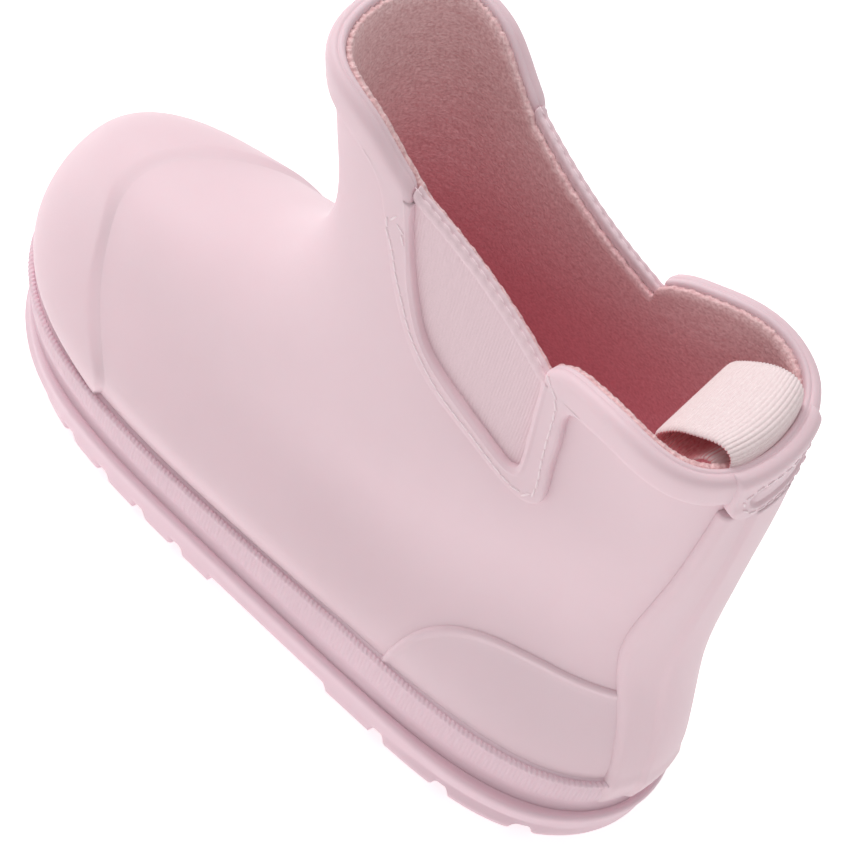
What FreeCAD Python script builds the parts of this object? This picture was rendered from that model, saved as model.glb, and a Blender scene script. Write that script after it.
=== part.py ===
import FreeCAD, Part
import math
import os
from FreeCAD import Vector

# A child's pull-on rubber boot for the left foot, in millimetres.
# +Z is up, the toe points to -Y, the wearer's left (outer) side is +X.
# The boot stands on its lugs at Z 0, with its bounding box centred on X 0 and Y 0.

DIMENSIONS = [
    # alias, value, what it is
    ("shift_x", 5.3, "moves the foot's centre line onto the middle of the bounding box"),
    ("shift_y", 1.4, "moves the boot's middle onto the middle of the bounding box"),
    ("skin_thick", 2.0, "rubber skin"),
    ("lining_thick", 1.3, "brushed knit lining"),
    ("overlay_thick", 1.6, "raised rubber overlays: toe cap, counter, collar, surrounds"),
    ("strip_thick", 3.0, "back strip"),
    ("patch_thick", 1.5, "tab patch over the collar"),
    ("lug_height", 4.5, "depth of the tread under the sole slab"),
    ("slab_top", 13.6, "top of the sole's wall"),
    ("sole_floor", 8.6, "floor of the sole's inner cup"),
    ("sole_flange", 3.0, "how far the sole stands out from the skin at the bead"),
    ("sole_wall", 6.0, "width of the sole's wall round its inner cup"),
    ("band_top", 23.4, "top of the ribbed foxing band"),
    ("band_flange", 1.8, "how far the foxing band stands out"),
    ("bead_top", 25.2, "top of the foxing bead"),
    ("bead_flange", 2.3, "how far the bead stands out"),
    ("board_thick", 1.6, "insole board"),
    ("sock_thick", 1.2, "lining under the foot"),
    ("foam_thick", 4.0, "loose footbed's foam"),
    ("cover_thick", 1.0, "loose footbed's cloth"),
    ("footbed_gap", 2.0, "gap round the loose footbed"),
    ("strip_half", 10.5, "half the width of the back strip"),
    ("patch_half", 13.0, "half the width of the tab patch"),
    ("patch_bottom", 119.0, "lowest edge of the tab patch"),
    ("webbing_width", 20.0, "width of the pull loop's webbing"),
    ("webbing_thick", 1.2, "thickness of the webbing"),
    ("hinge_y", 73.2, "sewn line that the pull loop turns on, before the shift"),
    ("hinge_z", 131.0, "height of the sewn line"),
    ("anchor_height", 9.0, "height of the webbing's sewn tail"),
    ("stitch_long", 1.5, "length of a stitch"),
    ("stitch_pitch", 2.6, "distance between stitches"),
    ("loop_reach", 6.5, "sewn line to the middle of the loop's round end"),
    ("loop_radius", 4.4, "outer radius of the loop's round end"),
    ("loop_neck", 1.5, "outer radius of the loop at its sewn line"),
    ("loop_droop", 30.0, "how far the folded loop points below level, in degrees"),
]

# Ten sections through the boot, from the sole up to just above the rim. Each slopes from a
# point on the front profile to a point on the rear profile. half_width is the half width, fullness
# moves the widest point forward, waist squares the ends and pinches the middle, and sweep
# moves the front end towards the inner side of the foot.
FIELDS = ("front_y", "front_z", "rear_y", "rear_z", "half_width", "fullness", "waist", "sweep")
SECTIONS = [
    ("welt", -87.0, 12.0, 93.0, 12.0, 41.3, 0.21, 0.22, -9.0),
    ("bead", -92.0, 24.5, 95.0, 24.0, 42.3, 0.21, 0.23, -9.5),
    ("wall", -98.5, 37.0, 93.5, 36.5, 40.3, 0.21, 0.16, -7.5),
    ("toe_top", -94.0, 49.5, 90.0, 50.5, 32.5, 0.17, 0.10, -8.0),
    ("vamp_low", -80.5, 58.5, 87.0, 66.0, 26.5, 0.11, 0.06, -6.5),
    ("vamp_high", -53.0, 67.0, 85.5, 82.0, 24.5, 0.05, 0.06, -3.5),
    ("instep", -28.0, 82.5, 84.5, 97.5, 24.0, -0.02, 0.12, -1.5),
    ("ankle", -18.0, 107.0, 83.5, 112.5, 24.0, -0.06, 0.26, -1.5),
    ("collar_low", -20.5, 130.0, 82.5, 124.0, 26.0, -0.06, 0.40, -2.0),
    ("collar_high", -25.5, 153.0, 82.0, 138.0, 28.0, -0.06, 0.46, -2.0),
]

doc = FreeCAD.newDocument("rain_boot")
sheet = doc.addObject("Spreadsheet::Sheet", "Dimensions")


def add_cell(row, alias, value, note):
    """Puts one driving dimension on a row of the sheet."""
    sheet.set(f"A{row}", note)
    sheet.set(f"B{row}", f"{value:g}")
    sheet.setAlias(f"B{row}", alias)


rows = list(DIMENSIONS)
for section in SECTIONS:
    for field, value in zip(FIELDS, section[1:]):
        rows.append((f"{section[0]}_{field}", value, f"{section[0]} section"))
for number, (alias, value, note) in enumerate(rows, 1):
    add_cell(number, alias, value, note)
doc.recompute()


def dim(alias):
    """The value of a driving dimension."""
    return float(sheet.get(alias))


SHIFT = Vector(dim("shift_x"), dim("shift_y"), 0)


# ---- the skin's surface ------------------------------------------------------------------


def bends(values):
    """Second differences of a natural cubic spline through evenly spaced values."""
    count = len(values)
    upper = [0.0] * count
    right = [0.0] * count
    for i in range(1, count - 1):
        pull = 6 * (values[i + 1] - 2 * values[i] + values[i - 1])
        pivot = 4 - upper[i - 1]
        upper[i] = 1 / pivot
        right[i] = (pull - right[i - 1]) / pivot
    result = [0.0] * count
    for i in range(count - 2, 0, -1):
        result[i] = right[i] - upper[i] * result[i + 1]
    return result


COLUMNS = [[dim(f"{s[0]}_{field}") for s in SECTIONS] for field in FIELDS]
BENDS = [bends(column) for column in COLUMNS]
LAST = len(SECTIONS) - 1


def section_at(level):
    """The eight section values at a level, 0 at the sole and LAST above the collar."""
    i = min(max(int(level), 0), LAST - 1)
    t = level - i
    found = []
    for column, bend in zip(COLUMNS, BENDS):
        sag = t * (1 - t) / 6 * ((2 - t) * bend[i] + (1 + t) * bend[i + 1])
        found.append((1 - t) * column[i] + t * column[i + 1] - sag)
    return found


def skin_point(level, angle):
    """A point of the skin's outside: angle 0 at the toe, +X side first, pi at the heel."""
    front_y, front_z, rear_y, rear_z, half, full, waist, sweep = section_at(level)
    along = (1 - math.cos(angle)) / 2
    swell = 1 + full * math.cos(angle) + waist * math.cos(2 * angle)
    x = half * math.sin(angle) * swell + sweep * (1 - along) ** 2
    y = front_y + (rear_y - front_y) * along
    z = front_z + (rear_z - front_z) * along
    return Vector(x, y, z)


def skin_normal(level, angle):
    """The outward normal of the skin."""
    step = 0.001
    round_it = skin_point(level, angle + step) - skin_point(level, angle - step)
    up = skin_point(level + step, angle) - skin_point(level - step, angle)
    return round_it.cross(up).normalize()


def offset_point(level, angle, offset):
    """A point at a distance outside the skin. The end sections stay flat."""
    normal = skin_normal(level, angle)
    if level in (0, LAST):
        values = section_at(level)
        slope = Vector(0, values[0] - values[2], values[1] - values[3])
        flat = Vector(1, 0, 0).cross(slope).normalize()
        normal = normal - flat * normal.dot(flat)
        normal.normalize()
    return skin_point(level, angle) + normal * offset + SHIFT


def closed_wire(points):
    """A smooth closed wire through points, all evenly spaced along its parameter."""
    curve = Part.BSplineCurve()
    marks = [float(i) for i in range(len(points) + 1)]
    curve.interpolate(Points=points, PeriodicFlag=True, Parameters=marks)
    return Part.Wire([curve.toShape()])


RING_STEPS = 40
LEVEL_STEPS = 2 * LAST


def skin_solid(offset):
    """The solid inside the skin's surface, moved out by offset."""
    wires = []
    for k in range(LEVEL_STEPS + 1):
        level = k * LAST / LEVEL_STEPS
        ring = [offset_point(level, math.tau * j / RING_STEPS, offset) for j in range(RING_STEPS)]
        wires.append(closed_wire(ring))
    return Part.makeLoft(wires, True, False)


# ---- helpers that make document objects --------------------------------------------------

# Blocks that only cut reach this far to each side, or this high.
FAR = 150.0
CEILING = "200"


def feature(name, shape):
    """Keeps a freeform shape in the document."""
    item = doc.addObject("Part::Feature", name)
    item.Shape = shape
    item.Placement = FreeCAD.Placement()
    return item


def skin_feature(name, offset):
    """The solid inside the skin moved out by offset, as a document object."""
    return feature(name, skin_solid(offset))


def cut(name, base, tool):
    """One object with another taken away."""
    item = doc.addObject("Part::Cut", name)
    item.Base = base
    item.Tool = tool
    item.Refine = False
    return item


def common(name, first, second):
    """What two objects share."""
    item = doc.addObject("Part::Common", name)
    item.Base = first
    item.Tool = second
    item.Refine = False
    return item


def slab(name, low, high):
    """A wide block between two heights, each an expression over the sheet."""
    item = doc.addObject("Part::Box", name)
    item.Length = 2 * FAR
    item.Width = 2 * FAR
    item.Placement = FreeCAD.Placement(Vector(-FAR, -FAR, 0), FreeCAD.Rotation())
    item.setExpression("Height", f"({high}) - ({low})")
    item.setExpression(".Placement.Base.z", low)
    return item


HEEL_START = 60.0


def strip_block(name, half, low, high):
    """A block round the back of the heel, half wide each side, between two heights."""
    item = slab(name, low, high)
    item.setExpression("Length", f"2 * ({half})")
    item.setExpression(".Placement.Base.x", f"Dimensions.shift_x - ({half})")
    item.Placement.Base.y = HEEL_START
    return item


def outline_edges(points, smooth_runs):
    """Edges through points: each run of indices in smooth_runs becomes one smooth curve."""
    edges = []
    i = 0
    starts = dict(smooth_runs)
    while i < len(points) - 1:
        stop = starts.get(i, i + 1)
        if stop > i + 1:
            curve = Part.BSplineCurve()
            curve.interpolate(Points=points[i : stop + 1])
            edges.append(curve.toShape())
        else:
            edges.append(Part.LineSegment(points[i], points[i + 1]).toShape())
        i = stop
    edges.append(Part.LineSegment(points[-1], points[0]).toShape())
    return edges


def side_prism(name, profile, smooth_runs=(), x_from=-FAR, x_to=FAR):
    """A prism along X over a side-view profile of (y, z) pairs, before the shift."""
    points = [Vector(x_from, y + SHIFT.y, z) for y, z in profile]
    face = Part.Face(Part.Wire(outline_edges(points, smooth_runs)))
    item = doc.addObject("Part::Extrusion", name)
    item.Base = feature(f"{name}_profile", face)
    item.DirMode = "Custom"
    item.Dir = Vector(1, 0, 0)
    item.LengthFwd = x_to - x_from
    item.Solid = True
    return item


def bead_outline(offset, height):
    """The sole's outline, offset outside the skin at the bead and laid flat at a height."""
    points = []
    for j in range(RING_STEPS):
        angle = math.tau * j / RING_STEPS
        normal = skin_normal(1, angle)
        normal.z = 0
        place = skin_point(1, angle) + normal.normalize() * offset + SHIFT
        points.append(Vector(place.x, place.y, height))
    return closed_wire(points)


def outline_plate(name, offset, low, high):
    """A plate of the sole's outline between two heights, both expressions."""
    item = doc.addObject("Part::Extrusion", name)
    item.Base = feature(f"{name}_face", Part.Face(bead_outline(offset, 0)))
    item.DirMode = "Custom"
    item.Dir = Vector(0, 0, 1)
    item.Solid = True
    item.setExpression("LengthFwd", f"({high}) - ({low})")
    item.setExpression(".Placement.Base.z", low)
    return item


def surface_place(side, y, z, offset):
    """The level and angle of the skin at a side-view place, and the point offset from it."""
    low = 0.0
    high = float(LAST)
    for _ in range(40):
        level = (low + high) / 2
        front_y, front_z, rear_y, rear_z = section_at(level)[:4]
        along = min(max((y - front_y) / (rear_y - front_y), 0), 1)
        if front_z + (rear_z - front_z) * along < z:
            low = level
        else:
            high = level
    angle = math.acos(1 - 2 * along)
    if side < 0:
        angle = math.tau - angle
    return offset_point(level, angle, offset), skin_normal(level, angle)


parts = {}


def keep(label, item):
    """Names a finished sub-part."""
    item.Label = label
    parts[label] = item
    return item


# ---- the skin's nested surfaces ----------------------------------------------------------

SKIN = dim("skin_thick")
LINING = dim("lining_thick")
OVERLAY = dim("overlay_thick")
skin_outside = skin_feature("skin_outside", 0)
skin_inside = skin_feature("skin_inside", -SKIN)
lining_inside = skin_feature("lining_inside", -SKIN - LINING)
overlay_outside = skin_feature("overlay_outside", OVERLAY)

# The rim in side view: high in front, falling straight along the elastic gore and rising
# over a hump behind it.
RIM_FRONT = [(-60, 150.5), (-26, 150.5), (-11, 149.5), (-4.5, 147), (2, 142), (8, 137.6)]
RIM_REAR = [(41.5, 124.7), (45, 128.6), (51, 131.6), (60, 133.8), (70, 133.6), (80, 132.2)]
RIM = RIM_FRONT + RIM_REAR + [(FAR, 132.2)]
RIM_RUNS = ((1, 5), (6, 11))
COLLAR_HEIGHT = 7.5
RIM_CAP = 1.5


def lowered(profile, drop):
    """A side-view line moved down."""
    return [(y, z - drop) for y, z in profile]


def below_rim(name, drop):
    """Everything lower than the rim moved down by drop."""
    line = lowered(RIM, drop) + [(FAR, 0), (RIM[0][0], 0)]
    return side_prism(name, line, RIM_RUNS)


under_rim = below_rim("under_rim", 0)
under_cap = below_rim("under_cap", RIM_CAP)
under_collar = below_rim("under_collar", COLLAR_HEIGHT)

# The gore's opening and the outer edge of the raised surround, in side view. Both run from
# the front of the rim down the sloping front, along the bottom and up the upright rear.
GORE = [
    (5.6, 141), (9, 128), (12.7, 118.6), (17, 111.3), (22, 107.3), (28, 105.2),
    (44.2, 101.7), (46.3, 102), (47.1, 103.6), (46.2, 108), (43, 128), (43, 160), (5, 160),
]
GORE_RUNS = ((0, 5), (6, 8))
SURROUND = [
    (-1.2, 141), (2, 131), (4.5, 124), (7.5, 117.5), (11, 111.5), (15, 106.5), (19.5, 103.2),
    (25, 101), (47, 96.9), (50.8, 97.1), (53.4, 98.6), (54.2, 101.2), (52.6, 109),
    (50.6, 130), (50, 160), (-2, 160),
]
SURROUND_RUNS = ((0, 7), (8, 11))


# ---- sole --------------------------------------------------------------------------------

# Places along the foot, before the shift.
FRONT_GAPS = [-4.0 - 12.7 * k for k in range(7)]
HEEL_GAPS = [46.5, 64.0, 81.5]
GAP_WIDTH = 3.2
SHANK = (-4.0, 30.0)
FILLER_SPLIT = 32.0


def sole_slab():
    """The slab above the tread, flaring a little up to its rounded top edge."""
    flange = dim("sole_flange")
    base = dim("lug_height")
    top = dim("slab_top")
    heights = [(base, flange - 0.8), (base + 5.5, flange - 0.2), (top - 1.4, flange)]
    heights += [(top - 0.4, flange - 0.5), (top, flange - 1.4)]
    wires = [bead_outline(offset, height) for height, offset in heights]
    return Part.makeLoft(wires, True, True)


def tread():
    """The lugs: the sole's outline cut by the gaps between lugs and by the plain shank."""
    lugs = Part.Face(bead_outline(dim("sole_flange") - 1.0, 0)).extrude(
        Vector(0, 0, dim("lug_height"))
    )
    for y in FRONT_GAPS + HEEL_GAPS:
        lugs = lugs.cut(cross_bar(y - GAP_WIDTH / 2, y + GAP_WIDTH / 2, dim("lug_height")))
    return lugs.cut(cross_bar(SHANK[0], SHANK[1], dim("lug_height")))


def cross_bar(y_from, y_to, height):
    """A bar right across the sole."""
    corner = Vector(-FAR, y_from + SHIFT.y, -1)
    return Part.makeBox(2 * FAR, y_to - y_from, height + 1, corner)


sole_block = feature("sole_block", sole_slab().fuse(tread()))
sole_cup = outline_plate(
    "sole_cup", -dim("sole_wall"), "Dimensions.sole_floor", "Dimensions.slab_top + 1"
)
keep("outsole", cut("sole", sole_block, sole_cup))

filler = outline_plate(
    "filler", -dim("sole_wall"), "Dimensions.sole_floor", "Dimensions.slab_top"
)
front_half = slab("front_half", "0", "Dimensions.slab_top")
front_half.Placement.Base.y = FILLER_SPLIT + SHIFT.y - 2 * FAR
keep("forefoot_filler", common("front_filler", filler, front_half))
rear_half = slab("rear_half", "0", "Dimensions.slab_top")
rear_half.Placement.Base.y = FILLER_SPLIT + SHIFT.y
keep("heel_filler", common("rear_filler", filler, rear_half))

BOARD_TOP = "Dimensions.slab_top + Dimensions.board_thick"
SOCK_TOP = f"{BOARD_TOP} + Dimensions.sock_thick"
FOAM_TOP = f"{SOCK_TOP} + Dimensions.foam_thick"
COVER_TOP = f"{FOAM_TOP} + Dimensions.cover_thick"
board_slab = slab("board_slab", "Dimensions.slab_top", BOARD_TOP)
keep("insole_board", common("board", skin_inside, board_slab))
keep("lining_sole", common("sock", skin_inside, slab("sock_slab", BOARD_TOP, SOCK_TOP)))

footbed_space = skin_feature("footbed_space", -SKIN - LINING - dim("footbed_gap"))
keep("footbed_foam", common("foam", footbed_space, slab("foam_slab", SOCK_TOP, FOAM_TOP)))
keep("footbed_cover", common("cover", footbed_space, slab("cover_slab", FOAM_TOP, COVER_TOP)))

# ---- rubber skin and lining --------------------------------------------------------------

# The vamp ends at a sloping side-view line from the instep down to the sole, where the leg
# piece begins.
VAMP_LINE = [(-31, 96), (10, 10), (-FAR, 10), (-FAR, 96)]
GORE_TOP = [(0, 143.2), (8, 137.6), (41.5, 124.7), (46, 122.9)]
BAND_DROP = 4.0


vamp_side = side_prism("vamp_side", VAMP_LINE)


def front_wall(name, outer, inner, floor):
    """The front of a nested wall, ahead of the vamp line and above a floor."""
    solid = common(f"{name}_solid", outer, vamp_side)
    wall = cut(f"{name}_wall", solid, inner)
    return common(f"{name}_trimmed", wall, slab(f"{name}_span", floor, CEILING))


def rear_wall(name, outer, inner, floor):
    """The rest of a nested wall, behind the vamp line and under the rim."""
    solid = cut(f"{name}_solid", outer, vamp_side)
    low = common(f"{name}_low", solid, under_cap)
    wall = cut(f"{name}_wall", low, inner)
    return common(f"{name}_trimmed", wall, slab(f"{name}_span", floor, CEILING))


keep("vamp", front_wall("vamp", skin_outside, skin_inside, "Dimensions.slab_top"))
leg_wall = rear_wall("leg", skin_outside, skin_inside, "Dimensions.slab_top")
gore_gap = side_prism("gore_gap", GORE, GORE_RUNS)
keep("leg_shell", cut("leg_open", leg_wall, gore_gap))

# The lining reaches the rim at both collars and stops under the gore's edge band.
keep("lining_vamp", front_wall("toe_lining", skin_inside, lining_inside, SOCK_TOP))
leg_lining = rear_wall("leg_lining", skin_inside, lining_inside, SOCK_TOP)
edge_line = lowered(GORE_TOP, BAND_DROP)
above_edge = side_prism("above_edge", edge_line + [(46, 170), (0, 170)])
edge_cutter = common("edge_cutter", gore_gap, above_edge)
keep("lining_leg", cut("lining_open", leg_lining, edge_cutter))

# ---- foxing ------------------------------------------------------------------------------


def ring_round_skin(name, offset, low, high):
    """A ring round the foot of the skin, between two heights."""
    plate = outline_plate(f"{name}_plate", offset, low, high)
    return cut(f"{name}_ring", plate, skin_outside)


band = ring_round_skin(
    "foxing", dim("band_flange"), "Dimensions.slab_top", "Dimensions.band_top"
)
keep("foxing_band", band)
bead = ring_round_skin("bead", dim("bead_flange"), "Dimensions.band_top", "Dimensions.bead_top")
keep("foxing_bead", bead)

# ---- overlays ----------------------------------------------------------------------------

overlay_shell = cut("overlay_shell", overlay_outside, skin_outside)
above_bead = slab("above_bead", "Dimensions.bead_top", CEILING)
overlay_wall = common("overlay_wall", overlay_shell, above_bead)

# The toe cap's rear edge, seen from above, is a parabola opening towards the toe.
CAP_APEX = (4.0, -69.5)
CAP_CURVE = 0.03
CAP_STEPS = [-36 + 8 * k for k in range(10)]


def toe_cap_block():
    """A tall block over the plan outline that the toe cap fills."""
    points = []
    for x in CAP_STEPS:
        y = CAP_APEX[1] + CAP_CURVE * (x - CAP_APEX[0]) ** 2
        points.append(Vector(x, y, 0) + SHIFT)
    last = len(points) - 1
    points += [Vector(points[-1].x, -FAR, 0), Vector(points[0].x, -FAR, 0)]
    face = Part.Face(Part.Wire(outline_edges(points, ((0, last),))))
    return face.extrude(Vector(0, 0, FAR))


keep("toe_cap", common("cap", overlay_wall, feature("cap_block", toe_cap_block())))

COUNTER = [
    (39.5, 20), (40.2, 28), (41.5, 35.3), (43.8, 41.8), (48, 46.2), (53, 49.4), (59, 51.5),
    (66, 52.7), (FAR, 53.5), (FAR, 20),
]
counter_block = side_prism("counter_block", COUNTER, ((0, 7),))
keep("heel_counter", common("counter", overlay_wall, counter_block))

strip_outside = skin_feature("strip_outside", dim("strip_thick"))
strip_shell = cut("strip_shell", strip_outside, skin_outside)
strip_span = strip_block(
    "strip_span", "Dimensions.strip_half", "Dimensions.bead_top", "Dimensions.patch_bottom"
)
strip_full = common("strip_full", strip_shell, strip_span)
keep("back_strip", cut("strip", strip_full, parts["heel_counter"]))

# ---- collar and gore surrounds -----------------------------------------------------------

collar_side = common("collar_side", overlay_shell, under_rim)
collar_band = cut("collar_band", collar_side, under_collar)
cap_shell = cut("cap_shell", skin_outside, lining_inside)
cap_high = common("cap_high", cap_shell, under_rim)
cap_ring = cut("cap_ring", cap_high, under_cap)
collar_ring = doc.addObject("Part::Fuse", "collar_ring")
collar_ring.Base = collar_band
collar_ring.Tool = cap_ring
collar_ring.Refine = False
collar_open = cut("collar_open", collar_ring, gore_gap)
MID_GORE = 25.0
OVER_RIM = 170.0
front_block = side_prism(
    "front_block", [(-FAR, 0), (MID_GORE, 0), (MID_GORE, OVER_RIM), (-FAR, OVER_RIM)]
)
keep("front_collar", common("collar_fore", collar_open, front_block))
keep("rear_collar", cut("collar_aft", collar_open, front_block))

collar_zone = cut("collar_zone", under_rim, under_collar)
ELASTIC_SINK = 0.6
EDGE_RISE = 0.5
EDGE_UNDER = 0.3
elastic_outside = skin_feature("elastic_outside", -ELASTIC_SINK)
elastic_shell = cut("elastic_shell", elastic_outside, skin_inside)
edge_outside = skin_feature("edge_outside", EDGE_RISE)
edge_inside = skin_feature("edge_inside", -SKIN - LINING - EDGE_UNDER)
edge_shell = cut("edge_shell", edge_outside, edge_inside)


def gore_parts(side, x_from, x_to):
    """The four pieces of one gore: surround, elastic panel, edge band and stitches."""
    around = side_prism(f"{side}_around", SURROUND, SURROUND_RUNS, x_from, x_to)
    hole = side_prism(f"{side}_hole", GORE, GORE_RUNS, x_from, x_to)
    frame = common(f"{side}_frame_wall", overlay_shell, cut(f"{side}_frame", around, hole))
    trimmed = cut(f"{side}_frame_trimmed", frame, collar_zone)
    keep(f"gore_surround_{side}", common(f"{side}_frame_low", trimmed, under_collar))
    top_line = lowered(GORE_TOP, BAND_DROP) + [(60, 80), (-10, 80)]
    panel_span = common(f"{side}_panel_span", hole, side_prism(f"{side}_panel_top", top_line))
    keep(f"gore_elastic_{side}", common(f"{side}_panel", elastic_shell, panel_span))
    band_line = GORE_TOP + list(reversed(lowered(GORE_TOP, BAND_DROP)))
    band_span = common(f"{side}_band_span", hole, side_prism(f"{side}_band_side", band_line))
    keep(f"gore_edge_{side}", common(f"{side}_band", edge_shell, band_span))


gore_parts("left", 0, FAR)
gore_parts("right", -FAR, 0)

# ---- stitches ----------------------------------------------------------------------------

STITCH_WIDE = 0.6
STITCH_TALL = 0.35
STITCH_LIFT = 0.04
FRAME_STITCHES = [
    (4.1, 130.4), (6.4, 124.4), (9.3, 118.3), (12.7, 112.8), (16.4, 108.3), (20.6, 105.2),
    (25.5, 103.0), (36, 100.8), (46.8, 98.8), (50, 98.9), (51.7, 100), (52.3, 102),
    (50.9, 109), (49.3, 121.5),
]


def along_path(corners, pitch):
    """Evenly spaced places on a line of straight runs, as pairs of numbers."""
    places = []
    carry = pitch / 2
    for (a0, b0), (a1, b1) in zip(corners, corners[1:]):
        length = math.hypot(a1 - a0, b1 - b0)
        while carry <= length:
            t = carry / length
            places.append((a0 + (a1 - a0) * t, b0 + (b1 - b0) * t))
            carry += pitch
        carry -= length
    return places


def stitch(place, along, normal):
    """One stitch lying along a direction on a surface."""
    across = normal.cross(along).normalize()
    along = across.cross(normal).normalize()
    size = dim("stitch_long")
    block = Part.makeBox(size, STITCH_WIDE, STITCH_TALL, Vector(-size / 2, -STITCH_WIDE / 2, 0))
    base = place + normal * STITCH_LIFT
    frame = FreeCAD.Matrix(
        along.x, across.x, normal.x, base.x,
        along.y, across.y, normal.y, base.y,
        along.z, across.z, normal.z, base.z,
        0, 0, 0, 1,
    )
    return block.transformGeometry(frame)


def stitch_row(found):
    """Separate stitches at (place, normal) pairs, each turned towards the next."""
    made = []
    for i, (place, normal) in enumerate(found):
        near = found[i + 1][0] if i + 1 < len(found) else found[i - 1][0]
        made.append(stitch(place, near - place, normal))
    return Part.makeCompound(made)


for side, sign in (("left", 1), ("right", -1)):
    spots = along_path(FRAME_STITCHES, dim("stitch_pitch"))
    found = [surface_place(sign, y, z, OVERLAY) for y, z in spots]
    keep(f"gore_stitches_{side}", feature(f"{side}_stitches", stitch_row(found)))

# ---- tab patch and pull loop -------------------------------------------------------------

PATCH_OUT = OVERLAY + dim("patch_thick")
WINDOW_HALF = 8.5
WINDOW_LOW = 122.6
WINDOW_HIGH = 128.6
WINDOW_DEEP = 0.8
PATCH_CAP = 1.0


def back_prism(name, half, low, high, corner, round_top):
    """A prism along Y behind the heel, over an upright outline with rounded corners."""
    mid = SHIFT.x
    y = HEEL_START
    flat_top = high if not round_top else high - corner
    quarter = math.sqrt(0.5) * corner
    left, right = mid - half, mid + half
    edges = [
        Part.LineSegment(Vector(left + corner, y, low), Vector(right - corner, y, low)),
        Part.Arc(
            Vector(right - corner, y, low),
            Vector(right - corner + quarter, y, low + corner - quarter),
            Vector(right, y, low + corner),
        ),
        Part.LineSegment(Vector(right, y, low + corner), Vector(right, y, flat_top)),
        Part.LineSegment(Vector(left, y, flat_top), Vector(left, y, low + corner)),
        Part.Arc(
            Vector(left, y, low + corner),
            Vector(left + corner - quarter, y, low + corner - quarter),
            Vector(left + corner, y, low),
        ),
    ]
    if round_top:
        edges += [
            Part.Arc(
                Vector(right, y, flat_top),
                Vector(right - corner + quarter, y, flat_top + quarter),
                Vector(right - corner, y, high),
            ),
            Part.LineSegment(Vector(right - corner, y, high), Vector(left + corner, y, high)),
            Part.Arc(
                Vector(left + corner, y, high),
                Vector(left + corner - quarter, y, flat_top + quarter),
                Vector(left, y, flat_top),
            ),
        ]
    else:
        edges.append(Part.LineSegment(Vector(right, y, high), Vector(left, y, high)))
    wire = Part.Wire(Part.__sortEdges__([edge.toShape() for edge in edges]))
    return feature(name, Part.Face(wire).extrude(Vector(0, 60, 0)))


patch_low = dim("patch_bottom")
PATCH_TOP = 140.0
PATCH_CORNER = 4.0
patch_outside = skin_feature("patch_outside", PATCH_OUT)
patch_shell = cut("patch_shell", patch_outside, skin_outside)
patch_block = back_prism(
    "patch_block", dim("patch_half"), patch_low, PATCH_TOP, PATCH_CORNER, False
)
patch_side = common("patch_side", patch_shell, patch_block)
patch_side = common("patch_below_rim", patch_side, under_rim)
patch_side = cut("patch_off_collar", patch_side, parts["rear_collar"])
window_floor = skin_feature("window_floor", PATCH_OUT - WINDOW_DEEP)
window_shell = cut("window_shell", skin_feature("window_top", PATCH_OUT + 1), window_floor)
window_block = back_prism("window_block", WINDOW_HALF, WINDOW_LOW, WINDOW_HIGH, 2.5, True)
window = common("window", window_shell, window_block)
patch_side = cut("patch_windowed", patch_side, window)
patch_cap = cut("patch_cap_shell", patch_outside, lining_inside)
patch_cap = common("patch_cap_width", patch_cap, patch_block)
patch_cap = common("patch_cap_top", patch_cap, below_rim("patch_rim", -PATCH_CAP))
patch_cap = cut("patch_cap", patch_cap, under_rim)
patch = doc.addObject("Part::Fuse", "patch")
patch.Base = patch_side
patch.Tool = patch_cap
patch.Refine = False
keep("tab_patch", patch)


def back_place(x, z, offset):
    """The offset point and normal of the skin at a rear-view place."""
    low = 0.0
    high = float(LAST)
    for _ in range(30):
        level = (low + high) / 2
        inner, outer = math.pi * 0.6, math.pi * 1.4
        for _ in range(30):
            angle = (inner + outer) / 2
            spot = skin_point(level, angle)
            if spot.x > x:
                inner = angle
            else:
                outer = angle
        if spot.z < z:
            low = level
        else:
            high = level
    return offset_point(level, angle, offset), skin_normal(level, angle)


def window_border(margin, steps=8):
    """Corners of the line that the window's stitches follow."""
    radius = (WINDOW_HIGH - WINDOW_LOW) / 2 + margin
    middle = (WINDOW_HIGH + WINDOW_LOW) / 2
    reach = WINDOW_HALF + margin - radius
    corners = []
    for sign, start in ((1, -math.pi / 2), (-1, math.pi / 2)):
        for k in range(steps + 1):
            turn = start + math.pi * k / steps
            across = sign * reach + radius * math.cos(turn)
            corners.append((across, middle + radius * math.sin(turn)))
    return corners + corners[:1]


window_spots = along_path(window_border(1.1), dim("stitch_pitch"))
window_found = [back_place(x, z, PATCH_OUT) for x, z in window_spots]
keep("tab_stitches", feature("window_stitches", stitch_row(window_found)))

# The webbing's sewn tail lies on the lining under the loop.
WEBBING = dim("webbing_thick")
tail_inside = skin_feature("tail_inside", -SKIN - LINING - WEBBING)
tail_shell = cut("tail_shell", skin_feature("tail_outside", -SKIN - LINING), tail_inside)
tail_span = strip_block(
    "tail_span",
    "Dimensions.webbing_width / 2",
    "Dimensions.hinge_z - Dimensions.anchor_height",
    "Dimensions.hinge_z",
)
keep("loop_tail", common("tail", tail_shell, tail_span))

# The loop is one strap of webbing folded over a round end and sewn to itself at the neck.
# Its outline is drawn in side view round the sewn line, drooping into the boot.
reach = dim("loop_reach")
droop = math.radians(dim("loop_droop"))
neck = Vector(dim("hinge_y") + SHIFT.y, dim("hinge_z"), 0)
toward = Vector(-math.cos(droop), -math.sin(droop), 0)
beside = Vector(-toward.y, toward.x, 0)
bulb = neck + toward * reach


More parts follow.
